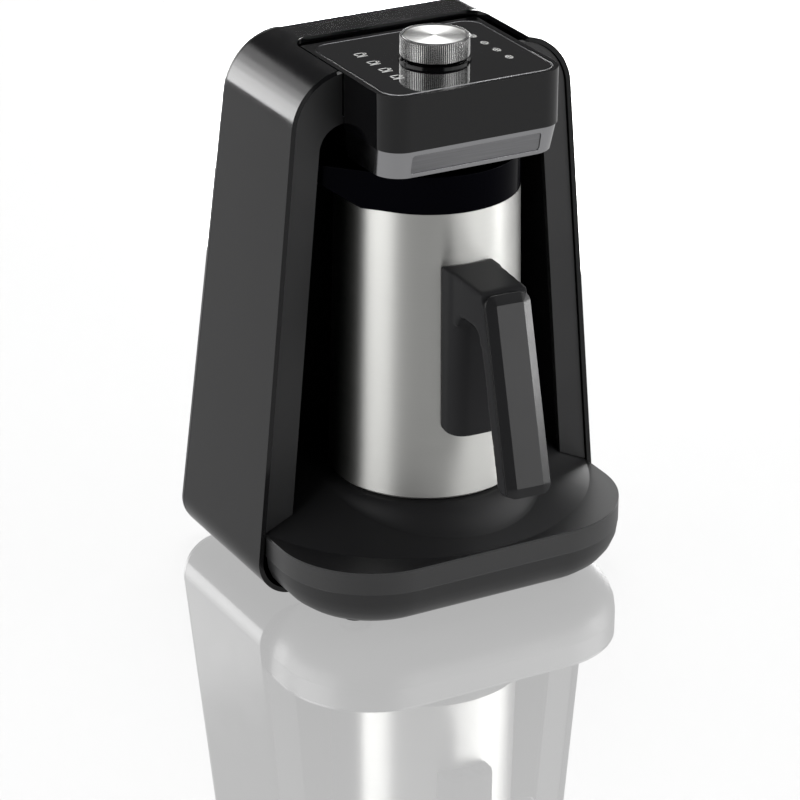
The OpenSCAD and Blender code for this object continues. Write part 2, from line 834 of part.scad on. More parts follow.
module head_underside() color(DARK) difference() {
    translate([0, 0, under_z]) linear_extrude(height = niche_top - fit_gap - under_z)
        nose_plan(head_hw - tub_in, tub_front, tub_back, head_r - 2);
    translate([0, 0, tub_floor]) linear_extrude(height = niche_top)
        nose_plan(head_hw - tub_in - liner_t, tub_front + liner_t, tub_back - liner_t, head_r - 2 - liner_t);
    translate([0, pot_y, under_z - 1]) cylinder(d = lens_d, h = 5);
}

lens_rim = 1.2;
// Gap between the lens's rim and the sensor board, which the two sensors fill
sensor_h = 3;

module overflow_lens() color(SMOKE) translate([0, pot_y, 0]) {
    translate([0, 0, under_z]) cylinder(r = lens_d / 2 - seat_gap, h = liner_t);
    translate([0, 0, tub_floor]) cylinder(r = lens_d / 2 + 2, h = lens_rim);
}

module sensor_board() color(BOARD) translate([0, pot_y, tub_floor]) {
    translate([-16, -11, lens_rim + sensor_h]) cube([32, 22, board_t]);
    both_sides(3) translate([0, 0, lens_rim]) cylinder(d = 3, h = sensor_h);
    both_sides(13) cylinder(d = 4, h = lens_rim + sensor_h);
}

board_screw_d = screw_d - 0.4;

module control_board() color(BOARD) difference() {
    translate([0, 0, board_z]) linear_extrude(height = board_t)
        head_plan(wall + inner_gap, head_rear - wall - inner_gap);
    translate([0, knob_y, board_z - 1]) cylinder(d = 3, h = 5);
    board_points() translate([0, 0, board_z - 1]) cylinder(r = board_screw_d / 2 + screw_gap, h = 5);
}

// Places its children at the four screws of the control board.
module board_points() for (y = [head_front + 22, head_rear - 10])
    translate([0, y, 0]) both_sides(37) children();

module light_guides() color(CREAM) lamp_points()
    translate([0, 0, board_top]) cylinder(d = lamp_d, h = panel_z - board_top);

module buzzer() color(RUBBER) translate([0, head_front + 16, board_top]) difference() {
    cylinder(d = 12, h = 4.6);
    translate([0, 0, 3]) cylinder(d = 2, h = 3);
}

enc_w = 12;
rotor_r = 4.4;
// Height of the rotor's underside above the board, and its thickness
rotor_up = 1.2;
rotor_t = 2.4;

module encoder_body() color(DARK) translate([0, knob_y, board_top]) difference() {
    union() {
        translate([-enc_w / 2, -enc_w / 2, 0]) cube([enc_w, enc_w, board_drop]);
        cylinder(r = bush_r, h = head_top - board_top);
    }
    translate([0, 0, rotor_up - 0.2]) cylinder(r = rotor_r + fit_gap, h = rotor_t + 0.4);
    translate([0, 0, -1]) cylinder(r = shaft_d / 2 + run_gap, h = 3 * over);
}

module encoder_nut() color(BRASS) translate([0, knob_y, head_top]) difference() {
    cylinder(r = bush_r + 2.5, h = ring_t);
    translate([0, 0, -1]) cylinder(r = shaft_d / 2 + fit_gap, h = 4);
}

// The shaft's lower end is cut flat on one side, so that the rotor turns with it.
module key_plan(o) difference() {
    circle(r = shaft_d / 2 - 0.5 + o);
    translate([shaft_d / 2 - 1.2 + o, -shaft_d]) square([shaft_d, 2 * shaft_d]);
}

module encoder_rotor() color(CREAM) translate([0, knob_y, board_top + rotor_up]) difference() {
    cylinder(r = rotor_r, h = rotor_t);
    translate([0, 0, -1]) linear_extrude(height = rotor_t + 2) key_plan(run_gap);
}

// The shaft's round part stays clear of the rotor when the knob is pressed.
shaft_low = board_top + rotor_up + rotor_t + press_travel + fit_gap;

module encoder_shaft() color(ALU) translate([0, knob_y, 0]) {
    translate([0, 0, board_top + rotor_up]) linear_extrude(height = shaft_low - board_top - rotor_up)
        key_plan(0);
    translate([0, 0, shaft_low]) cylinder(d = shaft_d, h = knob_top - knob_web - shaft_low);
}

// A ring of ridges with a V-shaped groove between each two.
module ridged_plan() polygon([for (i = [0:2 * knob_ridges - 1])
    let (a = i * 180 / knob_ridges, r = knob_d / 2 - (i % 2) * knob_groove) [r * cos(a), r * sin(a)]]);

knob_rim = 1.7;
knob_dish = 0.5;
cap_disc_t = 1;
// Metal above the shaft's end
knob_web = knob_dish + cap_disc_t + 1.5;
hub_r = shaft_d / 2 + 2.5;

module knob() color(ALU) translate([0, knob_y, knob_z]) {
    r = knob_d / 2 - knob_groove;
    rotate_extrude() polygon([
        [shaft_d / 2 + seat_gap, 0], [hub_r, 0], [hub_r, knob_h / 2], [r - 3, knob_h / 2], [r - 3, 0],
        [r - 0.6, 0], [r, 0.6], [r, knob_h - 0.6], [r - 0.6, knob_h],
        [knob_d / 2 - knob_rim, knob_h], [knob_d / 2 - knob_rim, knob_h - knob_dish - cap_disc_t],
        [0, knob_h - knob_dish - cap_disc_t],
        [0, knob_h - knob_web], [shaft_d / 2 + seat_gap, knob_h - knob_web]
    ]);
    translate([0, 0, 1]) linear_extrude(height = knob_h - 2) difference() {
        ridged_plan();
        circle(r = r - 0.5);
    }
}

module knob_cap() color(ALU) translate([0, knob_y, knob_top - knob_dish - cap_disc_t])
    cylinder(r = knob_d / 2 - knob_rim - seat_gap, h = cap_disc_t);

module knob_ring() color(RUBBER) translate([0, knob_y, head_top]) difference() {
    cylinder(d = knob_d + 1.6, h = ring_t);
    translate([0, 0, -1]) cylinder(r = bush_r + 3, h = 4);
}

module power_board() color(BOARD) difference() {
    block([-pcb_hw, pcb_y, pcb_z], [pcb_hw, pcb_y + board_t, pcb_z + pcb_h]);
    power_points() translate([0, 0, board_t - screw_l]) screw_hole();
}

// Places its children on the power board's rear face, at its lower left corner as seen from behind.
module on_board() translate([-pcb_hw, pcb_y + board_t, pcb_z]) children();

// Height of the relay's lower side above the board's lower edge, and the relay's own height
relay_z = 24;
relay_h = 15.5;

// The relay reaches back to a gap from the leaning cover.
module power_relay() color(DARK) on_board() translate([12, 0, relay_z])
    cube([19, rear_at(pcb_z + relay_z + relay_h) + cover_proud - wall - inner_gap - pcb_y - board_t, relay_h]);

module terminal_block() color(CREAM) on_board() difference() {
    translate([30, 0, 3]) cube([32, 9, 12]);
    for (i = [0:2]) translate([36 + i * 10, 4.5, 5]) cylinder(d = 4, h = over + 2);
}

module cord_gland() color(RUBBER) at_inlet(gland_y0) difference() {
    union() {
        cylinder(r = gland_r, h = gland_len);
        translate([0, 0, 2]) cylinder(r = gland_flange_r, h = gland_flange_t);
        translate([0, 0, gland_len - gland_flange_t]) cylinder(r = gland_flange_r, h = gland_flange_t);
    }
    translate([0, 0, -1]) cylinder(d = inlet_d, h = gland_len + 2);
}

sensor_hole_d = 12;
stem_d = 7;

module heater_plate() color(STEEL) translate([0, pot_y, plate_z]) difference() {
    cylinder(r = heater_r, h = plate_t);
    translate([0, 0, -1]) cylinder(d = sensor_hole_d, h = plate_t + 2);
}

module seat_seal() color(SILICONE) translate([0, pot_y, plate_z]) difference() {
    cylinder(r = heater_r + seal_w - 2 * seat_gap, h = plate_t - 0.4);
    translate([0, 0, -1]) cylinder(r = heater_r + 2 * seat_gap, h = plate_t + 1);
}

// A ring of tube with a flat web that is brazed to the plate, open at the rear, with two pins.
module heating_element() color(STEEL) translate([0, pot_y, plate_z - element_d / 2]) {
    rotate([0, 0, 110]) rotate_extrude(angle = 320) translate([element_r, 0]) {
        circle(d = element_d, $fn = 32);
        translate([-2, 0]) square([4, element_d / 2]);
    }
    for (a = [70, 110]) rotate([0, 0, a]) translate([element_r, 0, 0]) rotate([a < 90 ? -90 : 90, 0, 0])
        cylinder(d = element_d / 2, h = 5);
}

clamp_t = 1.6;
clamp_z = plate_z - element_d - 0.4 - clamp_t;

// A bar across the well that presses the sensor up through the plate.
module heater_clamp() color(STEEL) difference() {
    union() {
        translate([-heater_r + 1, pot_y - 5, clamp_z]) cube([2 * heater_r - 2, 10, clamp_t]);
        clamp_points() translate([0, 0, clamp_z]) cylinder(d = 10, h = clamp_t);
        translate([0, pot_y, clamp_z]) cylinder(d = 18, h = clamp_t);
    }
    translate([0, pot_y, 0]) cylinder(r = stem_d / 2 + screw_gap, h = seat_z);
    clamp_points() cylinder(r = screw_d / 2 + screw_gap, h = seat_z);
}

module temperature_sensor() color(STEEL) translate([0, pot_y, 0]) {
    translate([0, 0, seat_z - 1.5]) cylinder(d = sensor_hole_d - 2, h = 1.5);
    translate([0, 0, clamp_z - 4]) cylinder(d = stem_d, h = seat_z - 1.5 - clamp_z + 4);
    translate([0, 0, clamp_z + clamp_t]) cylinder(d = stem_d + 3, h = 1.2);
}

// A cartridge in its saddle below the plate.
module thermal_fuse() color(BRASS) translate([0, pot_y + 14, plate_z]) {
    translate([-4, -1.5, -2]) cube([8, 3, 2]);
    translate([-6, 0, -3]) rotate([0, 90, 0]) cylinder(d = 4, h = 12);
}

module housing_screws() color(STEEL) {
    rear_points() translate([0, 0, rear_face - screw_l]) screw();
    power_points() translate([0, 0, board_t - screw_l]) screw();
    clamp_points() translate([0, 0, clamp_z + screw_l]) mirror([0, 0, 1]) screw();
    floor_points() translate([0, 0, shell_lift + screw_head_t + screw_l]) mirror([0, 0, 1]) screw();
}

module board_screws() color(STEEL) board_points() {
    translate([0, 0, board_z - screw_head_t]) cylinder(d = board_screw_d + 2.4, h = screw_head_t);
    translate([0, 0, board_z]) cylinder(d = board_screw_d, h = ceiling_z - board_z - 0.5);
}

// The steel wall's radius at a height above the pot's foot.
function pot_r(h) = pot_r0 - pot_k * h;

base_rise = 4;
foot_ring = 4;
foot_edge = 1.2;

module pot_body() color(STEEL) translate([0, pot_y, pot_z]) rotate_extrude(convexity = 4) polygon([
    [pot_r0 - foot_edge, 0], [pot_r(foot_edge), foot_edge], [pot_r1, pot_h], [pot_r1 - pot_wall, pot_h],
    [pot_r(base_rise + pot_wall + 3) - pot_wall, base_rise + pot_wall + 3],
    [pot_r(base_rise + pot_wall) - pot_wall - 3, base_rise + pot_wall],
    [0, base_rise + pot_wall], [0, base_rise], [pot_r0 - foot_ring, base_rise], [pot_r0 - foot_ring, 0]
]);

module pot_base_disc() color(STEEL) translate([0, pot_y, pot_z])
    cylinder(r = pot_r0 - foot_ring - 2 * seat_gap, h = base_rise);

spout_tip_r = 4;
spout_rise = 9.5;

// Plan of the collar with its spout on the left, moved inward by o.
module collar_plan(o) {
    r = pot_r1 - o;
    tip = spout_tip_r - o * 0.6;
    d = spout_reach - spout_tip_r - 0.4 * o;
    a = 180 - acos((r - tip) / d);
    circle(r = r);
    translate([-d, 0]) circle(r = tip);
    u = [cos(a), sin(a)];
    v = [cos(a), -sin(a)];
    polygon([
        (r - graze) * u, [-d, 0] + (tip - graze) * u, [-d, 0] + (tip - graze) * v, (r - graze) * v
    ]);
}

// The space above the spout's rising underside, raised by o.
module above_spout(o) translate([0, pot_y, 0]) {
    low = pot_rim + (o > 0 ? -over : 0);
    along_y(-seat_r, seat_r) polygon([
        [pot_r1 + 1, low], [pot_r1 + 1, collar_top + 5], [-spout_reach - 1, collar_top + 5],
        [-spout_reach - 1, pot_rim + o + spout_rise], [-pot_r1, pot_rim + o], [-pot_r1, low]
    ]);
}

skirt_h = 6;
skirt_r = pot_r1 - pot_wall - 2 * seat_gap;
seal_t = 1.7;
seal_deep = 0.8;

// The collar stands on the steel rim, and its skirt reaches down inside it.
module pot_collar() color(GLOSS) {
    difference() {
        intersection() {
            translate([0, pot_y, pot_rim]) linear_extrude(height = collar_h) collar_plan(0);
            above_spout(0);
        }
        intersection() {
            translate([0, pot_y, pot_rim - 1]) linear_extrude(height = collar_h + 2)
                collar_plan(collar_wall);
            above_spout(collar_wall);
        }
    }
    translate([0, pot_y, pot_rim - skirt_h]) difference() {
        cylinder(r = skirt_r, h = skirt_h);
        translate([0, 0, -1]) cylinder(r = pot_r1 - collar_wall - 0.6, h = skirt_h + 2);
        translate([0, 0, seal_t]) rotate_extrude()
            translate([skirt_r - seal_deep, 0]) square([2, seal_t + 2 * seat_gap]);
    }
}

module collar_seal() color(GREY) translate([0, pot_y, pot_rim - skirt_h + seal_t + seat_gap]) difference() {
    cylinder(r = skirt_r + seat_gap, h = seal_t);
    translate([0, 0, -1]) cylinder(r = skirt_r - seal_deep + seat_gap, h = seal_t + 2);
}

// The handle is drawn with its reach along -Y from the pot's axis and then turned to its place.
module at_handle() translate([0, pot_y, 0]) rotate([0, 0, -handle_turn]) children();

// The grip's own frame: its origin is the low end of the grip's front face, +Z runs up the slant
// and -Y points out of the face.
module at_grip() translate([0, -grip_reach, grip_low]) rotate([-grip_slant, 0, 0]) children();

module grip_plan(o, r) round_rect(-grip_w / 2 + o, grip_w / 2 - o, o, grip_len - o, r);

module pot_cone(o) translate([0, 0, pot_z]) cylinder(r1 = pot_r0 + o, r2 = pot_r1 + o, h = pot_h);

grip_back = cap_t + grip_depth;

// Reach of the grip's slanting face at a height, moved inward by inset.
function grip_y(z, inset) = -grip_reach + (z - grip_low) * tan(grip_slant) + inset / cos(grip_slant);

arm_low = arm_top - arm_t;
// The arm's sides stand this far inside the spine's and the grip's
arm_step = 0.3;
// How far the arm's top falls where it meets the cap
nose_drop = 2;
// How far the arm runs into the grip and the pot's space
arm_sunk = 1;

// Side view of the arm: reach along -Y, height up. Below it, the window's round corners are cut.
module bow_side() difference() {
    polygon([
        [-pot_r1 + 8, arm_top], [grip_y(arm_top, cap_t) + 2 * nose_drop, arm_top],
        [grip_y(arm_top, cap_t + arm_sunk), arm_top - nose_drop],
        [grip_y(arm_low - bow_r, cap_t + arm_sunk), arm_low - bow_r], [-pot_r1 + 8, arm_low - bow_r]
    ]);
    bow_window();
}

// The window between the spine and the grip, with round corners below the arm.
module bow_window() {
    x0 = grip_y(arm_low - bow_r, grip_back + bow_r);
    x1 = -spine_reach - bow_r;
    for (x = [x0, x1]) translate([x, arm_low - bow_r]) circle(r = bow_r);
    polygon([
        [x1, arm_low - graze], [x0, arm_low - graze],
        [x0 - (bow_r - graze) * cos(grip_slant), arm_low - bow_r + (bow_r - graze) * sin(grip_slant)],
        [grip_y(arm_low - over - bow_r, grip_back + graze), arm_low - over - bow_r],
        [-spine_reach - graze, arm_low - over - bow_r], [-spine_reach - graze, arm_low - bow_r]
    ]);
}

// Top view of the arm, which narrows from the spine to the grip.
module arm_plan() polygon([
    [-spine_w / 2 + arm_step, -pot_r1 + 8], [spine_w / 2 - arm_step, -pot_r1 + 8],
    [grip_w / 2 - arm_step, -grip_reach], [-grip_w / 2 + arm_step, -grip_reach]
]);

module handle_body() color(BLACK) at_handle() difference() {
    union() {
        at_grip() along_y(cap_t, grip_back) grip_plan(0, grip_r);
        intersection() {
            along_x(-spine_w, spine_w) bow_side();
            linear_extrude(height = shell_h) arm_plan();
        }
        // spine on the pot
        translate([0, 0, spine_low]) linear_extrude(height = spine_h - arm_step)
            nose_plan(spine_w / 2, -spine_reach, -pot_r1 + 6, spine_r);
    }
    pot_cone(2 * seat_gap);
    bracket_space(2 * seat_gap);
    spine_points() {
        screw_hole();
        head_pocket();
    }
    grip_points() {
        screw_hole();
        head_pocket();
    }
}

module handle_cap() color(BLACK) at_handle() difference() {
    at_grip() hull() {
        along_y(cap_chamfer, cap_t) grip_plan(seat_gap, grip_r, $fn = 64);
        along_y(0, 0.2) grip_plan(cap_margin, face_r, $fn = 64);
    }
    grip_points() screw_hole();
}

// Steel bracket that is welded to the pot inside the handle's spine.
bracket_t = 2;
bracket_w = 17;
bracket_y = -spine_reach + 3.5;
bracket_z0 = spine_low + 12;
bracket_z1 = arm_top - 12;

module bracket_space(o) difference() {
    along_y(bracket_y - o, -pot_r1 + 6)
        translate([-bracket_w / 2 - o, bracket_z0 - o])
            square([bracket_w + 2 * o, bracket_z1 - bracket_z0 + 2 * o]);
    pot_cone(seat_gap - o);
}

// Thickness of the plastic between the bracket and the heads of the spine's screws
spine_floor = 4;
// Distance from the middle to a screw of the spine, and from the spine's front to its axis
spine_screw_x = 5.2;
spine_screw_in = 7;

// Places its children at the screws of the spine and of the grip, each with +Z out to the head.
module spine_points() both_sides(spine_screw_x)
    translate([0, -spine_reach + spine_screw_in, bracket_z0 - spine_floor + screw_l]) mirror([0, 0, 1])
        children();

module grip_points() at_grip() for (z = [18, grip_len - 40])
    translate([0, grip_back - screw_head_t - screw_l, z]) rotate([-90, 0, 0]) children();

module handle_bracket() color(STEEL) at_handle() difference() {
    bracket_space(0);
    // the two hollows between the bracket's webs
    for (z = [bracket_z0 + bracket_t, (bracket_z0 + bracket_z1 + bracket_t) / 2])
        translate([-bracket_w, bracket_y + bracket_t, z])
            cube([2 * bracket_w, over * 2, (bracket_z1 - bracket_z0 - 3 * bracket_t) / 2]);
    spine_points() screw_hole();
}

module handle_screws() color(STEEL) at_handle() {
    spine_points() screw();
    grip_points() screw();
}

outer_shell();
front_fascia();
niche_liner();
rear_cover_lower();
rear_cover_upper();
base_tray();
base_pan();
base_plate();
feet();
head_housing();
control_panel();
panel_bezel();
trim_band();
trim_plate();
head_underside();
overflow_lens();
sensor_board();
control_board();
light_guides();
buzzer();
encoder_body();
encoder_nut();
encoder_rotor();
encoder_shaft();
knob();
knob_cap();
knob_ring();
power_board();
power_relay();
terminal_block();
cord_gland();
heater_plate();
heating_element();
heater_clamp();
seat_seal();
temperature_sensor();
thermal_fuse();
housing_screws();
board_screws();
pot_body();
pot_base_disc();
pot_collar();
collar_seal();
handle_body();
handle_cap();
handle_bracket();
handle_screws();
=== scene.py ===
# %% [markdown]
# # An electric Turkish coffee maker
#
# The machine is a tall black shell with a niche for a steel pot, a round tray in front, and a glossy control
# head with a knurled knob. Its exact solids come from the CAD frame. This script gives them the finish of the
# real thing: rounded moulding edges, knurled and spun aluminium, brushed steel and polished black plastic.
# The frame is loaded first, because every piece made here rides on one of its bodies.

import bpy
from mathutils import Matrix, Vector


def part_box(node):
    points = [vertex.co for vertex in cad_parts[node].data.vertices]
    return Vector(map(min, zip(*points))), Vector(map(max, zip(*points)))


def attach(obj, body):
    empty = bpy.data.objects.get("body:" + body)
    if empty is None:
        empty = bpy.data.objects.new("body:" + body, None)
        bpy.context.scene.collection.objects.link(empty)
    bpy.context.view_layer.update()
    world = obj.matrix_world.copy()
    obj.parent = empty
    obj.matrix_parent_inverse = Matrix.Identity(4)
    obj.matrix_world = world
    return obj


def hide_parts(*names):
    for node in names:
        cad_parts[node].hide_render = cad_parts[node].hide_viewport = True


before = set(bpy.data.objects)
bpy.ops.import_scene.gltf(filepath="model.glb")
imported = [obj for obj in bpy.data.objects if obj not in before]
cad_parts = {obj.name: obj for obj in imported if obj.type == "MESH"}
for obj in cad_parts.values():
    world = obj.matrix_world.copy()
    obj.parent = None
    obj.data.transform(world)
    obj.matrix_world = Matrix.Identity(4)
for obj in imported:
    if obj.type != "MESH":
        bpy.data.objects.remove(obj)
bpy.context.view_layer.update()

# %% [markdown]
# ## Units
#
# Blender works in metres, and the machine's sizes are easier to read in millimetres. One value, MM, turns one
# into the other, so a size is written as a number times MM.

# %% Imports and units
from math import cos, pi, radians, sin

import bmesh
import bpy
from mathutils import Euler, Matrix, Vector

MM = 0.001
print("one millimetre is", MM)

# %% [markdown]
# ## The camera
#
# A long lens from well above and to the left keeps the upright edges almost parallel. The camera is placed by
# the point it looks at, its turn, its tilt and its distance, as a tripod would be. A location and a rotation
# typed in by hand would do the same, but they are hard to adjust by eye.

# %% Camera
LOOK_AT = Vector((-11.14, 22.41, 97.13)) * MM
CAMERA_TURN = radians(28.87)
CAMERA_TILT = radians(24.06)
CAMERA_ROLL = radians(0.34)
CAMERA_DISTANCE = 1701.6 * MM
CAMERA_LENS = 161.27
CAMERA_SHIFT = 0.0029, -0.030

camera_axes = (Euler((pi / 2 - CAMERA_TILT, 0, -CAMERA_TURN)).to_matrix()
               @ Matrix.Rotation(CAMERA_ROLL, 3, "Z"))
bpy.ops.object.camera_add(location=LOOK_AT + camera_axes @ Vector((0, 0, CAMERA_DISTANCE)),
                          rotation=camera_axes.to_euler())
camera = bpy.context.object
camera.data.lens = CAMERA_LENS
camera.data.shift_x, camera.data.shift_y = CAMERA_SHIFT
bpy.context.scene.camera = camera
print("camera at", [round(v, 3) for v in camera.location])

# %% [markdown]
# ## Tools for materials
#
# Every finish is made of shader nodes. Two small helpers keep them short to write: one turns a hex colour into
# the linear numbers that a shader wants, and one adds a node with its settings and links. A third starts a
# material from the plain values of the real stuff, such as its roughness.


# %% Colour and node helpers
def colour(hex_code):
    """Linear RGBA of an sRGB hex colour."""
    parts = [int(hex_code[i:i + 2], 16) / 255 for i in (0, 2, 4)]
    return tuple(c / 12.92 if c <= 0.04045 else ((c + 0.055) / 1.055) ** 2.4 for c in parts) + (1,)


def add(tree, kind, inputs=None, **settings):
    """Adds a node. An input is given a value, or another node's output to link."""
    node = tree.nodes.new(kind)
    for name, value in settings.items():
        setattr(node, name, value)
    for name, value in (inputs or {}).items():
        if isinstance(value, bpy.types.NodeSocket):
            tree.links.new(value, node.inputs[name])
        else:
            node.inputs[name].default_value = value
    return node


def new_material(name, hex_code, roughness, **values):
    """A material whose Principled shader has these plain values. Returns it, its tree and its shader."""
    material = bpy.data.materials.new(name)
    material.use_nodes = True
    shader = material.node_tree.nodes["Principled BSDF"]
    shader.inputs["Base Color"].default_value = colour(hex_code)
    shader.inputs["Roughness"].default_value = roughness
    for name, value in values.items():
        shader.inputs[name.replace("_", " ").title().replace("Ior", "IOR")].default_value = value
    return material, material.node_tree, shader


print("black plastic is", [round(c, 4) for c in colour("0B0B0C")[:3]], "in linear light")

# %% [markdown]
# ## Patterns
#
# No real surface is quite even. Noise on the piece's own coordinates varies a colour or a roughness a little, or
# raises the surface by a few hundredths of a millimetre. Its scale is given as the real size of one grain, and a
# grain can be stretched into a hair line. An image would do it too, but noise needs no unwrapping.


# %% Pattern helpers
def pattern(tree, size, stretch=(1, 1, 1), detail=2.0):
    """Noise whose grains are about size across in metres, stretched along an axis where stretch is above 1."""
    place = add(tree, "ShaderNodeTexCoord")
    scaled = add(tree, "ShaderNodeMapping", {"Vector": place.outputs["Object"],
                                             "Scale": [1 / (size * s) for s in stretch]})
    return add(tree, "ShaderNodeTexNoise", {"Vector": scaled.outputs["Vector"], "Scale": 1.0,
                                            "Detail": detail}).outputs["Fac"]


def spread(tree, shader, name, fac, low, high):
    """Drives a shader's input from a pattern, between two values or two hex colours."""
    if name == "Base Color":
        mixed = add(tree, "ShaderNodeMix", {0: fac, 6: colour(low), 7: colour(high)}, data_type="RGBA")
        tree.links.new(mixed.outputs[2], shader.inputs[name])
        return
    mapped = add(tree, "ShaderNodeMapRange", {"Value": fac, "From Min": 0.3, "From Max": 0.7,
                                              "To Min": low, "To Max": high})
    tree.links.new(mapped.outputs["Result"], shader.inputs[name])


def bump(tree, shader, fac, height):
    """Lets a pattern raise the surface by height metres."""
    raised = add(tree, "ShaderNodeBump", {"Height": fac, "Distance": height, "Strength": 1.0})
    tree.links.new(raised.outputs["Normal"], shader.inputs["Normal"])


print("patterns ready")

# %% [markdown]
# ## Moulded plastics
#
# The shell, the tray and the handle are ABS from textured tools. A fine spark-eroded grain turns the sheen
# soft. The real grain is about 0.2 mm, finer than a picture shows, so it is drawn at 0.6 mm and very shallow.
# The parts only differ in colour and in how much the tool was polished: the shell is the smoothest, the niche
# is dead matt.

# %% Satin plastics
GRAIN = 0.6 * MM
GRAIN_DEPTH = 0.012 * MM


def satin_plastic(name, dark, light, roughness, specular):
    """Textured ABS: two close shades in large soft patches, and a shallow grain."""
    material, tree, shader = new_material(name, light, roughness, specular_ior_level=specular)
    spread(tree, shader, "Base Color", pattern(tree, 45 * MM, detail=3), dark, light)
    spread(tree, shader, "Roughness", pattern(tree, 18 * MM), roughness - 0.03, roughness + 0.03)
    bump(tree, shader, pattern(tree, GRAIN, detail=1), GRAIN_DEPTH)
    return material


shell_abs = satin_plastic("satin moulded ABS, charcoal", "0B0B0C", "0F0F10", 0.13, 0.35)
cover_abs = satin_plastic("satin moulded ABS, rear cover", "1E1E1F", "232324", 0.3, 0.6)
fascia_abs = satin_plastic("satin moulded ABS, black", "161617", "1A1A1B", 0.36, 0.5)
niche_abs = satin_plastic("matt moulded ABS, black", "050506", "070708", 0.5, 0.12)
tray_abs = satin_plastic("satin moulded ABS, tray black", "171718", "1B1B1C", 0.45, 0.12)
pan_abs = satin_plastic("satin moulded ABS, pan black", "171718", "1B1B1C", 0.38, 0.6)
handle_abs = satin_plastic("satin moulded nylon, black", "262627", "2B2B2C", 0.34, 0.02)
cap_abs = satin_plastic("satin moulded ABS, handle cap", "1C1C1D", "202021", 0.22, 0.26)
print("satin plastics", 8)

# %% [markdown]
# ## The tray's two textures
#
# The mould of the tray is etched on top, where coffee is spilt and wiped, and only brushed on its side. The small
# radius between them is polished by handling and shines. One piece with two materials would show a hard line, so
# the height above the table drives the roughness and the strength of the reflection instead.

# %% Tray finish
TRAY_EDGE = 35.75 * MM
EDGE_HALF = 0.5 * MM
SIDE_ROUGHNESS, TOP_ROUGHNESS = 0.36, 0.45
SIDE_SPECULAR, TOP_SPECULAR = 0.9, 0.2
EDGE_POLISH = -0.2

tree, shader = tray_abs.node_tree, tray_abs.node_tree.nodes["Principled BSDF"]
height = add(tree, "ShaderNodeSeparateXYZ", {"Vector": add(tree, "ShaderNodeTexCoord").outputs["Object"]})
top = add(tree, "ShaderNodeMath", {0: height.outputs["Z"], 1: TRAY_EDGE + EDGE_HALF}, operation="GREATER_THAN")
edge = add(tree, "ShaderNodeMath", {0: height.outputs["Z"], 1: TRAY_EDGE, 2: EDGE_HALF}, operation="COMPARE")
matt = add(tree, "ShaderNodeMapRange", {"Value": top.outputs["Value"], "To Min": SIDE_ROUGHNESS,
                                        "To Max": TOP_ROUGHNESS})
rough = add(tree, "ShaderNodeMath", {0: edge.outputs["Value"], 1: EDGE_POLISH, 2: matt.outputs["Result"]},
            operation="MULTIPLY_ADD")
tree.links.new(rough.outputs["Value"], shader.inputs["Roughness"])
shine = add(tree, "ShaderNodeMapRange", {"Value": top.outputs["Value"], "To Min": SIDE_SPECULAR,
                                         "To Max": TOP_SPECULAR})
tree.links.new(shine.outputs["Result"], shader.inputs["Specular IOR Level"])
print("tray edge at", round(TRAY_EDGE / MM, 2), "mm")

# %% [markdown]
# ## Polished black plastic
#
# The head, its panel and the pot's collar come from mirror-polished tools. The surface is smooth enough to
# mirror the knob, with a barely visible waviness from the moulding. The panel is a sheet of coated glass, which
# reflects more than plastic, and the thin bezel round it is plated.


# %% Gloss plastics
def gloss_plastic(name, hex_code, roughness, wave, **values):
    """High-gloss ABS with a slow waviness of the surface."""
    material, tree, shader = new_material(name, hex_code, roughness, **values)
    spread(tree, shader, "Roughness", pattern(tree, 25 * MM), roughness, roughness + 0.03)
    bump(tree, shader, pattern(tree, 30 * MM, detail=0), wave * MM)
    return material


head_gloss = gloss_plastic("high-gloss ABS, piano black", "050506", 0.07, 0.02)
panel_gloss = gloss_plastic("black glass panel", "08080A", 0.02, 0.003, ior=1.85)
bezel_gloss = gloss_plastic("satin chrome bezel, dark", "5E5E60", 0.2, 0.005, metallic=1.0)
collar_gloss = gloss_plastic("high-gloss polymer collar, blue black", "020205", 0.14, 0.02, specular_ior_level=0.02)
ring_black = gloss_plastic("gloss ABS ring, black", "070708", 0.12, 0.01)
print("gloss plastics", 5)

# %% [markdown]
# ## Brushed steel
#
# The pot is deep-drawn stainless steel, brushed while it turned, so the hair lines run round it. A real line is
# a few hundredths of a millimetre, drawn here as streaks 0.22 mm high and 40 mm long, so that they show. The
# anisotropy spreads the reflections up and down across the lines, which gives the pot its upright bands of light.


# %% Brushed steel
def brush_round_z(tree, shader):
    """Lays the hair lines of a metal round the Z axis."""
    shader.inputs["Anisotropic Rotation"].default_value = 0.25
    round_z = add(tree, "ShaderNodeTangent", direction_type="RADIAL", axis="Z")
    tree.links.new(round_z.outputs["Tangent"], shader.inputs["Tangent"])


def brushed_metal(name, dark, light, roughness, streak, length, anisotropy):
    """Metal brushed round the Z axis, with streaks of that height and length."""
    material, tree, shader = new_material(name, light, roughness, metallic=1.0, anisotropic=anisotropy)
    lines = pattern(tree, streak, stretch=(length / streak, length / streak, 1), detail=3)
    spread(tree, shader, "Base Color", lines, dark, light)
    spread(tree, shader, "Roughness", lines, roughness - 0.05, roughness + 0.05)
    brush_round_z(tree, shader)
    bump(tree, shader, lines, 0.002 * MM)
    return material


pot_steel = brushed_metal("brushed stainless steel", "C6C6C3", "CECECB", 0.40, 0.22 * MM, 40 * MM, 0.7)
base_steel = brushed_metal("turned stainless steel base", "9C9C9A", "B8B8B6", 0.32, 0.6 * MM, 60 * MM, 0.6)
print("brushed metals", 2)

# %% [markdown]
# ## Spun aluminium
#
# The knob's face is turned on a lathe. The tool leaves fine rings, which split a lamp's light into two bright
# rays through the middle. The rings are noise along one line, the distance from the knob's axis, so they stay
# round however small they are.

# %% Spun aluminium
pot_axis = sum(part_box("pot_body"), Vector()) / 2
knob_axis = sum(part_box("knob"), Vector()) / 2


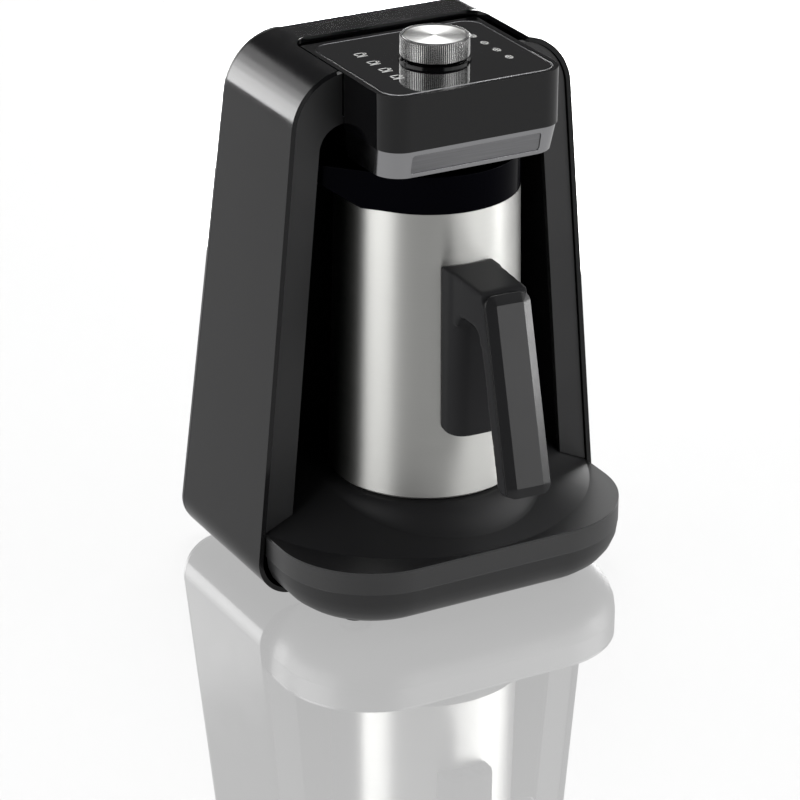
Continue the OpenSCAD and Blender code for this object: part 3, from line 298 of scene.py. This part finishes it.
def distance_from(tree, axis):
    """How far each point of the surface lies from an upright axis."""
    place = add(tree, "ShaderNodeTexCoord")
    centred = add(tree, "ShaderNodeMapping", {"Vector": place.outputs["Object"],
                                              "Location": (-axis.x, -axis.y, 0), "Scale": (1, 1, 0)})
    return add(tree, "ShaderNodeVectorMath", {0: centred.outputs["Vector"]}, operation="LENGTH").outputs["Value"]


def spun_metal(name, dark, light, roughness, groove, axis, anisotropy):
    """Metal turned on a lathe: fine rings about an upright axis, which split the light into rays."""
    material, tree, shader = new_material(name, light, roughness, metallic=1.0, anisotropic=anisotropy)
    grooves = add(tree, "ShaderNodeMath", {0: distance_from(tree, axis), 1: 1 / groove}, operation="MULTIPLY")
    rings = add(tree, "ShaderNodeTexNoise", {"W": grooves.outputs["Value"], "Scale": 1.0, "Detail": 2.0},
                noise_dimensions="1D").outputs["Fac"]
    spread(tree, shader, "Base Color", rings, dark, light)
    spread(tree, shader, "Roughness", rings, roughness - 0.04, roughness + 0.04)
    brush_round_z(tree, shader)
    bump(tree, shader, rings, 0.003 * MM)
    return material


knob_face = spun_metal("spun aluminium face", "CFCFCD", "E8E8E6", 0.33, 0.35 * MM, knob_axis, 0.9)
print("pot axis", [round(v, 4) for v in pot_axis], "knob axis", [round(v, 4) for v in knob_axis])

# %% [markdown]
# ## Knurled aluminium
#
# The knob's side is knurled aluminium. Its grooves are painted darker than its ridges, as painted shade in the
# creases of the knurl. The distance from the axis tells a groove from a ridge, so the same measure that drew the
# rings now picks the painted shade.

# %% Knurled finish
GROOVE_R, RIDGE_R = 15.65 * MM, 16.05 * MM

knob_side, tree, shader = new_material("knurled anodised aluminium", "C9C9C8", 0.26, metallic=1.0)
painted_groove_shade = add(tree, "ShaderNodeMapRange", {"Value": distance_from(tree, knob_axis), "From Min": GROOVE_R,
                                         "From Max": RIDGE_R})
# Painted shade: the colour goes dark in the grooves and light on the ridges, by distance from the knob's axis.
spread(tree, shader, "Base Color", painted_groove_shade.outputs["Result"], "767676", "E2E2E1")
print("knurl shaded over", round((RIDGE_R - GROOVE_R) / MM, 2), "mm")

# %% [markdown]
# ## Plated trim, rubber and lamps
#
# The slanted band under the head is plastic plated with satin chrome. The plate in it is brushed along its
# length. The feet are matt rubber, and the lamps are small milky light guides with printed marks. Each finish
# starts from the typical values of its stuff and gets one pattern, at the size that its making leaves.

# %% Trim, rubber and lamp finishes
trim_chrome, tree, shader = new_material("satin chrome plating", "A8A8AA", 0.15, metallic=1.0)
spread(tree, shader, "Roughness", pattern(tree, 12 * MM), 0.13, 0.18)
bump(tree, shader, pattern(tree, 0.5 * MM, detail=1), 0.004 * MM)

plate_steel, tree, shader = new_material("brushed aluminium plate", "A8A8AA", 0.34, metallic=1.0)
plate_lines = pattern(tree, 0.4 * MM, stretch=(60, 1, 1), detail=3)
spread(tree, shader, "Base Color", plate_lines, "7A7A7C", "969698")
bump(tree, shader, plate_lines, 0.006 * MM)

rubber, tree, shader = new_material("moulded black rubber", "121212", 0.78)
bump(tree, shader, pattern(tree, 0.8 * MM), 0.03 * MM)

milky, tree, shader = new_material("milky acrylic light guide", "D8D8D4", 0.3, ior=1.49)
spread(tree, shader, "Base Color", pattern(tree, 3 * MM), "CFCFCB", "DEDEDA")

ink, tree, shader = new_material("white pad-printed ink", "E4E4E2", 0.5)
spread(tree, shader, "Base Color", pattern(tree, 1 * MM), "D4D4D2", "F0F0EE")

smoked, tree, shader = new_material("smoked polycarbonate lens", "101014", 0.08, ior=1.58)
bump(tree, shader, pattern(tree, 10 * MM, detail=0), 0.01 * MM)

screw_steel, tree, shader = new_material("zinc-plated steel screws", "9FA1A4", 0.35, metallic=1.0)
spread(tree, shader, "Roughness", pattern(tree, 1.5 * MM), 0.28, 0.42)

silicone, tree, shader = new_material("grey silicone seal", "6E7072", 0.55)
bump(tree, shader, pattern(tree, 1.0 * MM), 0.01 * MM)
print("finishes", len(bpy.data.materials))

# %% [markdown]
# ## Tools for modelling
#
# Most outer parts are mouldings whose shape the CAD frame already has, with knife-sharp edges. A real mould
# rounds each edge a little, and that thin rounding is what catches the light. So the solid is copied, its
# triangles are joined into plain faces, its edges are bevelled, and the result stands in for the CAD node.
# Operators act on all that is selected, so everything is deselected before a piece is made active.


# %% Selection and finishing helpers
def deselect_all():
    if bpy.context.object and bpy.context.object.mode != "OBJECT":
        bpy.ops.object.mode_set(mode="OBJECT")
    bpy.ops.object.select_all(action="DESELECT")


def activate(piece):
    deselect_all()
    piece.select_set(True)
    bpy.context.view_layer.objects.active = piece


def apply_modifiers(piece):
    activate(piece)
    for modifier in list(piece.modifiers):
        bpy.ops.object.modifier_apply(modifier=modifier.name)


def finish_piece(piece, body, material, replaces=()):
    """Gives a piece its material, its place on a body and the nodes it stands for."""
    piece.data.materials.clear()
    piece.data.materials.append(material)
    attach(piece, body)
    if replaces:
        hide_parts(*replaces)
    print(piece.name, len(piece.data.polygons), "faces on", body)


def piece_from(shape, name):
    """A new active piece from a bmesh, which is freed."""
    piece = bpy.data.objects.new(name, bpy.data.meshes.new(name))
    shape.to_mesh(piece.data)
    shape.free()
    bpy.context.scene.collection.objects.link(piece)
    activate(piece)
    return piece


print("selection helpers ready")

# %% [markdown]
# ## From a CAD solid to a moulding
#
# Merging the triangles leaves whole faces, so the bevel meets real edges only. Weighted normals then let the
# large faces shade flat and leave the curve to the roundings. Where one edge needs a larger radius than the
# rest, it is bevelled first, by a test on the place of its two corners.


# %% Moulding helpers
def copy_of(node, name, flat=0.6):
    """A copy of a CAD node's solid whose triangles are merged into faces that are flat within that angle."""
    piece = bpy.data.objects.new(name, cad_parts[node].data.copy())
    bpy.context.scene.collection.objects.link(piece)
    activate(piece)
    if piece.data.has_custom_normals:
        bpy.ops.mesh.customdata_custom_splitnormals_clear()
    bpy.ops.object.mode_set(mode="EDIT")
    bpy.ops.mesh.select_all(action="SELECT")
    bpy.ops.mesh.remove_doubles(threshold=0.002 * MM)
    bpy.ops.mesh.dissolve_limited(angle_limit=radians(flat))
    bpy.ops.object.mode_set(mode="OBJECT")
    return piece


def flat_faces_stay_flat(piece):
    """Weighs the smooth normals by face area, so that only the roundings shade as curves."""
    weights = piece.modifiers.new("face weighted normals", "WEIGHTED_NORMAL")
    weights.weight = 90
    weights.keep_sharp = True
    apply_modifiers(piece)


def moulded(node, name, body, material, rounding, segments=2, sharp=28, change=None, flat=0.6, smooth=32):
    """A CAD solid with all its sharp edges rounded by that radius in millimetres."""
    piece = copy_of(node, name, flat)
    if change:
        change(piece)
    edges = piece.modifiers.new("rounded edges", "BEVEL")
    edges.width = rounding * MM
    edges.segments = segments
    edges.limit_method = "ANGLE"
    edges.angle_limit = radians(sharp)
    edges.use_clamp_overlap = True
    edges.miter_outer = "MITER_ARC"
    apply_modifiers(piece)
    bpy.ops.object.shade_smooth_by_angle(angle=radians(smooth))
    flat_faces_stay_flat(piece)
    finish_piece(piece, body, material, [node])


def round_edges(piece, chosen, radius, segments):
    """Rounds the edges for which the test on an edge's two corners, in millimetres, holds."""
    shape = bmesh.new()
    shape.from_mesh(piece.data)
    edges = [e for e in shape.edges if len(e.link_faces) == 2 and e.calc_face_angle() > radians(15)
             and all(chosen(*(v.co / MM)) for v in e.verts)]
    bmesh.ops.bevel(shape, geom=edges, offset=radius * MM, offset_type="OFFSET", segments=segments, profile=0.5,
                    affect="EDGES", clamp_overlap=True)
    shape.to_mesh(piece.data)
    shape.free()
    print(piece.name, "rounded", len(edges), "edges by", radius)


print("modelling helpers ready")

# %% [markdown]
# ## Shell
#
# The shell is one band with rolled corners. A line of light runs along its front edge, so that edge gets a full
# half-millimetre radius. The head passes through a slot in the band's top, and the slot's rear corners are round
# like the head's. Cutting the band again would mean a boolean on a bevelled mesh, so each corner is filled
# instead: a small fan above, one below and a curved wall between them, all following the roll of the band's top.

# %% Shell band and slot corners
SLOT_X, SLOT_Y, SLOT_ROUND = 50.0, 56.43, 9.5
SHELL_TOP, BAND_T = 261.0, 2.4
ROLL_START, ROLL_FALL = 44.44, 0.0175
ARC_STEPS = 10


def slot_corner(name, hand):
    """Fills the slot's rear corner on the left (-1) or the right (1) up to a round one."""
    shape = bmesh.new()
    layers = []
    for drop in (0, BAND_T):
        places = [(SLOT_X - SLOT_ROUND * (1 - sin(i * pi / 2 / ARC_STEPS)),
                   SLOT_Y - SLOT_ROUND * (1 - cos(i * pi / 2 / ARC_STEPS))) for i in range(ARC_STEPS + 1)]
        *arc, tip = [
            shape.verts.new(Vector((hand * x, y, SHELL_TOP - drop - ROLL_FALL * max(x - ROLL_START, 0) ** 2)) * MM)
            for x, y in places + [(SLOT_X, SLOT_Y)]]
        for a, b in zip(arc, arc[1:]):
            shape.faces.new((tip, a, b))
        layers.append(arc)
    upper, lower = layers
    for i in range(ARC_STEPS):
        shape.faces.new((upper[i], lower[i], lower[i + 1], upper[i + 1]))
    bmesh.ops.recalc_face_normals(shape, faces=shape.faces)
    piece = piece_from(shape, name)
    bpy.ops.object.shade_smooth_by_angle(angle=radians(30))
    finish_piece(piece, "root", shell_abs)


moulded("outer_shell", "shell_band", "root", shell_abs, 0.5, 3)
slot_corner("slot_corner_left", -1)
slot_corner("slot_corner_right", 1)

# %% [markdown]
# ## Fascia and rear covers
#
# The fascia closes the band in front, and two covers close it behind. The covers' edge meets the band's outside,
# and drafts in a little towards the back so that it leaves its mould. The edge faces are found by their place:
# no corner of the cover lies outside their plane. Scaling the whole cover would also move its vents and screws.

# %% Fascia and covers
REAR_LEAN = 0.067
COVER_BACK = 94.2 * MM
EDGE_OUT, EDGE_OUT_BEHIND = 0.8 * MM, 0.6 * MM


def meet_shell(cover):
    """The cover's edge stands out as far as the shell does, and drafts in a little towards the back."""
    corners = [v.co.copy() for v in cover.data.vertices]
    moves = {}
    for face in cover.data.polygons:
        out = Vector((face.normal.x, 0, face.normal.z))
        if abs(face.normal.y) < 0.3 and abs(face.normal.x) > 0.1:
            out.normalize()
            if max(c.dot(out) for c in corners) < face.center.dot(out) + 0.3 * MM:
                for i in face.vertices:
                    moves.setdefault(i, []).append(out)
    for i, outs in moves.items():
        behind = corners[i].y + REAR_LEAN * corners[i].z > COVER_BACK
        cover.data.vertices[i].co += sum(outs, Vector()).normalized() * (EDGE_OUT_BEHIND if behind else EDGE_OUT)
    print(cover.name, "edge corners moved", len(moves))


moulded("front_fascia", "fascia_frame", "root", fascia_abs, 0.35)
moulded("rear_cover_lower", "rear_panel_lower", "root", cover_abs, 0.4, change=meet_shell)
moulded("rear_cover_upper", "rear_panel_upper", "root", cover_abs, 0.4, change=meet_shell)

# %% [markdown]
# ## Tray and pan
#
# The tray is one deep moulding with a low crown, on which the pot's seat stands. The crown runs softly into its
# flat top and into the rim round its foot, so these two edges get large radii of their own, and the tray's
# outer edge gets one millimetre. The pan below the seam is a plain moulding with a small radius.

# %% Tray and pan
CROWN_Y, CROWN_FOOT = 39.3, 92
CROWN_ROUND, FOOT_ROUND = 5.5, 3
SEAT_CLEAR = 50
tray_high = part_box("base_tray")[1] / MM
pot_mm = pot_axis / MM


def soften_crown(tray):
    """The crown runs softly into its flat top, where the pot stands, and into the flat rim round its foot."""
    round_edges(tray, lambda x, y, z: abs(z - tray_high.z) < 0.1
                and Vector((x - pot_mm.x, y - pot_mm.y)).length > SEAT_CLEAR, CROWN_ROUND, 7)
    round_edges(tray, lambda x, y, z: z < 37 and abs(Vector((x, y - CROWN_Y)).length - CROWN_FOOT) < 0.4,
                FOOT_ROUND, 5)


moulded("base_tray", "tray_deck", "root", tray_abs, 1.0, 6, change=soften_crown, flat=0.03, smooth=20)
moulded("base_pan", "pan_moulding", "root", pan_abs, 0.2, 2)

# %% [markdown]
# ## Blend round the pot's seat
#
# The seat doesn't stand on the crown with a corner: a hollow blend sweeps from its top down to the deck, a little
# wider at the sides than in front. It is a ring of quads about the pot's axis. Each row's height is a smooth
# share between the seat's top and the crown below it, which a formula gives.

# %% Seat blend
SEAT_R, RIM_Z = 46.9, 36.3
BLEND_REACH, BLEND_SIDE = 53.5, 7
BLEND_ROWS, BLEND_STEPS = 12, 144
SKIN = 0.05


def crown_height(x, y):
    """Height of the deck at a place, in millimetres: the flat rim, the slope or the crown's flat top."""
    return RIM_Z + min(max((CROWN_FOOT - Vector((x, y - CROWN_Y)).length) / 2, 0), tray_high.z - RIM_Z)


blend_mesh = bmesh.new()
blend_rings = []
for i in range(BLEND_ROWS + 1):
    ring = []
    for j in range(BLEND_STEPS):
        turn = 2 * pi * j / BLEND_STEPS
        radius = SEAT_R + (BLEND_REACH + BLEND_SIDE * max(cos(turn), 0) ** 2 - SEAT_R) * i / BLEND_ROWS
        x, y = pot_mm.x + radius * sin(turn), pot_mm.y - radius * cos(turn)
        share = (1 - i / BLEND_ROWS) ** 2 * (1 + 2 * i / BLEND_ROWS)
        low = crown_height(x, y) + SKIN
        ring.append(blend_mesh.verts.new(Vector((x, y, low + (tray_high.z - SKIN - low) * share)) * MM))
    blend_rings.append(ring)
for inner, outer in zip(blend_rings, blend_rings[1:]):
    for j in range(BLEND_STEPS):
        k = (j + 1) % BLEND_STEPS
        blend_mesh.faces.new((inner[j], outer[j], outer[k], inner[k]))
blend = piece_from(blend_mesh, "seat_blend")
bpy.ops.object.shade_smooth()
finish_piece(blend, "root", tray_abs)

# %% [markdown]
# ## Head, trim and panel
#
# The head's upright corners are already round. A polished roll of 1.4 mm runs round its top, where it shows as a
# thin bright line, and the other edges get 0.4 mm. The roll must stay outside the bezel, so its edges are chosen
# by their distance from the bezel's rounded outline. The panel lies in the bezel, which is a hair rounder still.

# %% Head and trim
HEAD_ROLL = 1.4
BEZEL_CORNER, BEZEL_GAP = 9.6, 1.4
bezel_low, bezel_high = [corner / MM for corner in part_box("panel_bezel")]


def outside_bezel(x, y, z):
    """Whether a place in millimetres lies on the head's top, outside the bezel."""
    into_corner = Vector((abs(x) - bezel_high.x + BEZEL_CORNER,
                          max(bezel_low.y + BEZEL_CORNER - y, y - bezel_high.y + BEZEL_CORNER)))
    return abs(z - bezel_high.z) < 0.1 and (
        abs(x) > bezel_high.x + 2 or y < bezel_low.y - 2 or y > bezel_high.y + 2
        or into_corner.length > BEZEL_CORNER + BEZEL_GAP)


def soften_head(head):
    """A polished roll runs round the head's top, outside the bezel."""
    round_edges(head, outside_bezel, HEAD_ROLL, 4)


moulded("head_housing", "head_shell", "root", head_gloss, 0.4, 3, change=soften_head)
bezel = copy_of("panel_bezel", "panel_line")
round_edges(bezel, lambda x, y, z: z > bezel_high.z - 0.1, 0.4, 4)
activate(bezel)
bpy.ops.object.shade_smooth_by_angle(angle=radians(60))
finish_piece(bezel, "root", bezel_gloss, ["panel_bezel"])
moulded("control_panel", "panel_sheet", "root", panel_gloss, 0.25)
moulded("trim_band", "trim_moulding", "root", trim_chrome, 0.3)
moulded("trim_plate", "trim_inlay", "root", plate_steel, 0.2)

# %% [markdown]
# ## Knob
#
# The knob is gripped by a fine upright knurl, about one ridge per millimetre. The solid carries coarser ridges,
# so it is turned down to a plain core inside, and the knurl is a sleeve over it. Each ridge is modelled, because
# the knurl shows against the light: two corners lie on the ridge and two in the groove, all the way round.

# %% Knob core
knob_low, knob_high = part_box("knob")
knob_radius = (knob_high.x - knob_low.x) / 2

core = copy_of("knob", "knob_core")
for corner in core.data.vertices:
    across = Vector((corner.co.x - knob_axis.x, corner.co.y - knob_axis.y))
    if across.length > knob_radius - 0.9 * MM:
        across *= (knob_radius - 0.7 * MM) / across.length
        corner.co.x, corner.co.y = knob_axis.x + across.x, knob_axis.y + across.y
activate(core)
bpy.ops.object.mode_set(mode="EDIT")
bpy.ops.mesh.select_all(action="SELECT")
bpy.ops.mesh.remove_doubles(threshold=0.02 * MM)
bpy.ops.object.mode_set(mode="OBJECT")
bpy.ops.object.shade_smooth_by_angle(angle=radians(30))
finish_piece(core, "knob", knob_side, ["knob"])

# %% [markdown]
# ## Knurl
#
# The sleeve is built from rings of corners, one above the other. The upper and lower rings are smaller, which
# chamfers the knurl's ends as the turning tool does.

# %% Knurled sleeve
KNURLS = 104
KNURL_DEPTH = 0.45 * MM
KNURL_PROFILE = (0.5, 0.75), (0.6, 0.0), (9.1, 0.0), (9.45, 0.4), (9.5, 0.8)

knurl_mesh = bmesh.new()
rings = []
for height, inset in KNURL_PROFILE:
    ring = []
    for i in range(4 * KNURLS):
        depth = KNURL_DEPTH if i % 4 in (2, 3) and inset == 0.0 else 0.0
        radius = knob_radius - 0.02 * MM - inset * MM - depth
        angle = 2 * pi * (i + 0.15 * (-1) ** i) / (4 * KNURLS)
        ring.append(knurl_mesh.verts.new((knob_axis.x + radius * cos(angle), knob_axis.y + radius * sin(angle),
                                          knob_low.z + height * MM)))
    rings.append(ring)
for lower, upper in zip(rings, rings[1:]):
    for i in range(4 * KNURLS):
        j = (i + 1) % (4 * KNURLS)
        knurl_mesh.faces.new((lower[i], lower[j], upper[j], upper[i]))
finish_piece(piece_from(knurl_mesh, "knob_knurl"), "knob", knob_side)

# %% [markdown]
# ## Panel marks
#
# A small mark is printed on the panel beside each lamp: plain cups on the left and plain beans on the right.
# Print has no thickness to speak of, so a mark is flat strokes, laid three hundredths of a millimetre above the
# glass. Each stroke is one quad between two points, longer than the gap by half its width, so corners close.

# %% Printed marks
MARK_LINE = 0.62 * MM
MARK_LIFT = 0.03 * MM
CUP_X, BEAN_X = -28.1, 30.7
MARK_ROWS = (29.2, 28.4), (16.7, 17.4), (5.6, 6.2), (-5.2, -5.1)
CUP = [([(-2.2, 1.8), (-1.5, -1.6), (1.5, -1.6), (2.2, 1.8)], True),
       ([(2.1, 1.2), (3.3, 0.9), (3.0, -0.6), (1.8, -0.6)], False),
       ([(-2.4, -2.6), (2.4, -2.6)], False)]
BEAN = [([(1.5 * cos(a * pi / 4), 2.2 * sin(a * pi / 4)) for a in range(8)], True),
        ([(-0.4, 1.4), (0.4, -1.4)], False)]
panel_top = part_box("control_panel")[1].z


def stroke(shape, points, closed):
    """A flat printed line through points in millimetres."""
    corners = [Vector(p).to_3d() * MM for p in points]
    pairs = zip(corners, corners[1:] + corners[:1]) if closed else zip(corners, corners[1:])
    for start, end in pairs:
        along = (end - start).normalized() * MARK_LINE / 2
        across = Vector((-along.y, along.x, 0))
        shape.faces.new([shape.verts.new(v) for v in (start - along - across, end + along - across,
                                                      end + along + across, start - along + across)])


def mark(name, x, y, strokes):
    """A printed mark at a place on the panel."""
    shape = bmesh.new()
    for points, closed in strokes:
        stroke(shape, points, closed)
    bmesh.ops.translate(shape, vec=(x * MM, y * MM, panel_top + MARK_LIFT), verts=shape.verts)
    finish_piece(piece_from(shape, name), "root", ink)


for i, (left_y, right_y) in enumerate(MARK_ROWS):
    mark(f"cup_mark_{i + 1}", CUP_X, left_y, CUP)
    mark(f"bean_mark_{i + 1}", BEAN_X, right_y, BEAN)

# %% [markdown]
# ## Pot's collar and handle
#
# The pot's collar is a glossy moulding with a spout. The handle is a moulded bow with a chamfered cap on its
# front. The bow is round everywhere, as a hand wants it: an even grid of small voxels over the solid, relaxed a
# few times, softens every edge at once, which a bevel can't do where so many faces meet. The cap keeps crisp
# chamfers and reaches up to the arm's top.

# %% Collar and handle
NOSE_LIFT = 1.7 * MM
BOW_GRID = 0.7 * MM
cap_low, cap_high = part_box("handle_cap")


def lift_cap(cap):
    """Lets the cap reach up to the arm's top."""
    for corner in cap.data.vertices:
        share = (corner.co.z - cap_low.z) / (cap_high.z - cap_low.z)
        corner.co += Vector((0, 0.3, 1)) * NOSE_LIFT * share


moulded("pot_collar", "collar_moulding", "pot", collar_gloss, 0.5)
bow = copy_of("handle_body", "handle_bow")
for corner in bow.data.vertices:
    if abs(corner.co.z - cap_high.z) < 0.3 * MM and corner.co.y < cap_high.y + 4 * MM:
        corner.co.z += NOSE_LIFT
remesh = bow.modifiers.new("fine even grid", "REMESH")
remesh.mode = "VOXEL"
remesh.voxel_size = BOW_GRID
relax = bow.modifiers.new("soft edges", "SMOOTH")
relax.factor = 0.5
relax.iterations = 14
apply_modifiers(bow)
bpy.ops.object.shade_smooth()
finish_piece(bow, "pot", handle_abs, ["handle_body"])
moulded("handle_cap", "handle_front", "pot", cap_abs, 0.3, 2, 12, lift_cap)

# %% [markdown]
# ## Finishes on the CAD's own solids
#
# The other outer solids are right as they are: the niche, the steel pot, the feet and the screws. They only
# trade their plain CAD colour for a real finish. Their meshes aren't touched.


# %% Materials for the carried-over nodes
def dress(finishes):
    """Gives CAD nodes their finishes."""
    for name, finish in finishes.items():
        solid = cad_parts[name]
        solid.data.materials.clear()
        solid.data.materials.append(finish)
    print("dressed", len(finishes), "nodes")


dress({
    "niche_liner": niche_abs, "base_plate": fascia_abs, "feet": rubber,
    "head_underside": niche_abs, "overflow_lens": smoked,
    "light_guides": milky, "knob_cap": knob_face, "knob_ring": ring_black,
    "pot_body": pot_steel, "pot_base_disc": base_steel, "collar_seal": silicone,
    "handle_bracket": base_steel, "handle_screws": screw_steel, "housing_screws": screw_steel,
    "cord_gland": rubber, "heater_plate": base_steel,
})

# %% [markdown]
# ## Inner parts
#
# The electronics and the heater sit inside, where no light reaches. They still get plain moulded or metal
# finishes with a little variation, because the part can be opened. One small function is enough for all of
# them: two shades of the stuff and a fine pattern between them.


# %% Inner finishes
def inner_finish(name, dark, light, roughness, metallic=0.0):
    material, tree, shader = new_material(name, light, roughness, metallic=metallic)
    spread(tree, shader, "Base Color", pattern(tree, 4 * MM), dark, light)
    return material


inner_black = inner_finish("glass-filled nylon, black", "141414", "1B1B1B", 0.6)
board_green = inner_finish("epoxy circuit board, green", "1E4A2E", "24573A", 0.45)
cream = inner_finish("moulded relay housing, cream", "CFC6A8", "DAD2B6", 0.5)
brass = inner_finish("turned brass", "B08D4A", "C6A35C", 0.3, 1.0)
aluminium = inner_finish("turned aluminium", "9A9A98", "B0B0AE", 0.45, 1.0)
silicone_red = inner_finish("silicone ring, red brown", "8E2A22", "A0332A", 0.6)
dress({
    "control_board": board_green, "power_board": board_green, "sensor_board": board_green,
    "power_relay": cream, "terminal_block": cream, "thermal_fuse": cream, "buzzer": inner_black,
    "encoder_body": aluminium, "encoder_rotor": inner_black, "encoder_shaft": aluminium,
    "encoder_nut": brass, "board_screws": screw_steel, "heating_element": aluminium,
    "heater_clamp": screw_steel, "seat_seal": silicone_red, "temperature_sensor": screw_steel,
})
plain = [n for n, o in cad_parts.items() if o.data.materials and not o.data.materials[0].use_nodes]
print("nodes without a finish", plain)

# %% [markdown]
# ## Studio
#
# The room round the machine is dark grey, so that the black plastics stay black. Light that has passed the
# clear table sheet sees a white backdrop instead, which the Light Path node tells apart.

# %% World
STUDIO_GREY = 0.11

world = bpy.data.worlds.new("studio")
bpy.context.scene.world = world
world.use_nodes = True
sky = world.node_tree
sky.nodes.clear()
rays = add(sky, "ShaderNodeLightPath")
level = add(sky, "ShaderNodeMapRange", {"Value": rays.outputs["Is Transmission Ray"], "To Min": STUDIO_GREY,
                                        "To Max": 1})
backdrop = add(sky, "ShaderNodeBackground", {"Color": (1, 1, 1, 1), "Strength": level.outputs["Result"]})
add(sky, "ShaderNodeOutputWorld", {"Surface": backdrop.outputs["Background"]})
bpy.context.scene.view_settings.view_transform = "Standard"
print("world ready")

# %% [markdown]
# ## Table
#
# The machine stands on a white table with a sharp pale image of it below. A mirror board lies under a thin sheet
# that is partly white and partly clear, so the image is as sharp as a mirror's and as pale as the sheet makes it.
# One glossy white floor would give a weaker image that fades with the angle. The camera and the machine's own
# shiny parts see the sheet pale, whatever the lamps do to it. Other light meets a plain white surface, and the
# machine's shadow stays.

# %% Table top and mirror board
FLOOR_SIZE = 8.0
SHEET_T = 0.2 * MM
CLEARNESS = 0.475
SEEN_LEVEL, SEEN_SHARE = 0.95, 0.8
MIRRORED_LEVEL, MIRRORED_SHARE = 0.5, 0.9


def table_plane(name, height, material):
    deselect_all()
    bpy.ops.mesh.primitive_plane_add(size=FLOOR_SIZE, location=(0, 0, height))
    plane = bpy.context.object
    plane.name = name
    plane.data.materials.append(material)


def mixed_shader(tree, share, first, second):
    """A blend of two shaders' outputs, by a number or a socket."""
    return add(tree, "ShaderNodeMixShader", {0: share, 1: first, 2: second}).outputs["Shader"]


table_white, tree, shader = new_material("white acrylic table top", "F0F0F0", 0.5)
white = shader.outputs["BSDF"]
rays = add(tree, "ShaderNodeLightPath")
side = add(tree, "ShaderNodeNewGeometry")
clear = add(tree, "ShaderNodeBsdfRefraction", {"Color": (1, 1, 1, 1), "Roughness": 0.0, "IOR": 1.0}).outputs["BSDF"]
glow, mirrored_glow = [
    add(tree, "ShaderNodeEmission", {"Color": (1, 1, 1, 1), "Strength": strength}).outputs["Emission"]
    for strength in (SEEN_LEVEL, MIRRORED_LEVEL)]
sheet = mixed_shader(tree, CLEARNESS, mixed_shader(tree, SEEN_SHARE, white, glow), clear)
mirrored = mixed_shader(tree, MIRRORED_SHARE, white, mirrored_glow)
bounced = mixed_shader(tree, rays.outputs["Is Glossy Ray"], white, mirrored)
from_above = mixed_shader(tree, rays.outputs["Is Camera Ray"], bounced, sheet)
surface = mixed_shader(tree, side.outputs["Backfacing"], from_above, clear)
tree.links.new(surface, tree.nodes["Material Output"].inputs["Surface"])
table_plane("table_top", 0, table_white)

mirror_board, tree, shader = new_material("polished mirror board", "FFFFFF", 0.02, metallic=1.0)
table_plane("mirror_board", -SHEET_T, mirror_board)
print("table ready")

# %% [markdown]
# ## Lamps
#
# Wide low soft boxes left and right light the pot in upright bands. A narrow strip low on the right lights the
# handle cap's chamfer. Behind on the left, five boxes stand one above the other, each weaker than the one below:
# the shell's rolled corner mirrors them as one band that fades softly. One large box would end in a hard line.
# Each box's strength is given as the brightness of its face, so its size can change without changing the light.


# %% Standing soft boxes
def soft_box(name, turn, distance, low, high, width, radiance):
    """A soft box that stands round the object at a turn from the front, positive to the right."""
    place = Vector((distance * sin(radians(turn)), -distance * cos(radians(turn)), (low + high) / 2))
    bpy.ops.object.light_add(type="AREA", location=place)
    lamp = bpy.context.object
    lamp.name = name
    lamp.rotation_euler = Vector((-place.x, -place.y, 0)).to_track_quat("-Z", "Y").to_euler()
    lamp.data.shape = "RECTANGLE"
    lamp.data.size = width
    lamp.data.size_y = high - low
    lamp.data.energy = radiance * pi * width * (high - low)


soft_box("soft box left", -99, 1.5, 0.05, 0.9, 1.8, 4.9)
soft_box("soft box right, front part", 16, 1.5, 0.05, 0.9, 0.78, 2.8)
soft_box("soft box right", 60, 1.5, 0.05, 0.9, 1.85, 3.4)
soft_box("strip low on the right", 65, 1.5, 0.005, 0.165, 0.3, 14)
for low, high, radiance in ((0.02, 0.4, 8.6), (0.4, 0.7, 8.3), (0.7, 1.0, 6.1), (1.0, 1.3, 3.6), (1.3, 1.7, 1.7)):
    soft_box(f"soft box behind, from {low} m", -155, 2.6, low, high, 1.6, radiance)
soft_box("soft box behind on the right", 142, 1.6, 0.02, 0.5, 1.0, 8.0)

# %% [markdown]
# ## Lamps from above
#
# Two weak square boxes hang over the machine, one behind the head and one high on the right. They lift the top
# panel and the knob's face a little and keep the shadow on the table soft.


# %% Hanging soft boxes
def hanging_box(name, place, size, energy):
    """A square soft box that hangs at a place and points at the table's middle."""
    bpy.ops.object.light_add(type="AREA", location=place, rotation=place.to_track_quat("Z", "Y").to_euler())
    lamp = bpy.context.object
    lamp.name = name
    lamp.data.size = size
    lamp.data.energy = energy


hanging_box("soft box above", Vector((0.45, 0.85, 1.6)), 1.0, 18)
hanging_box("soft box high on the right", Vector((1.15, -0.5, 1.5)), 1.2, 7)
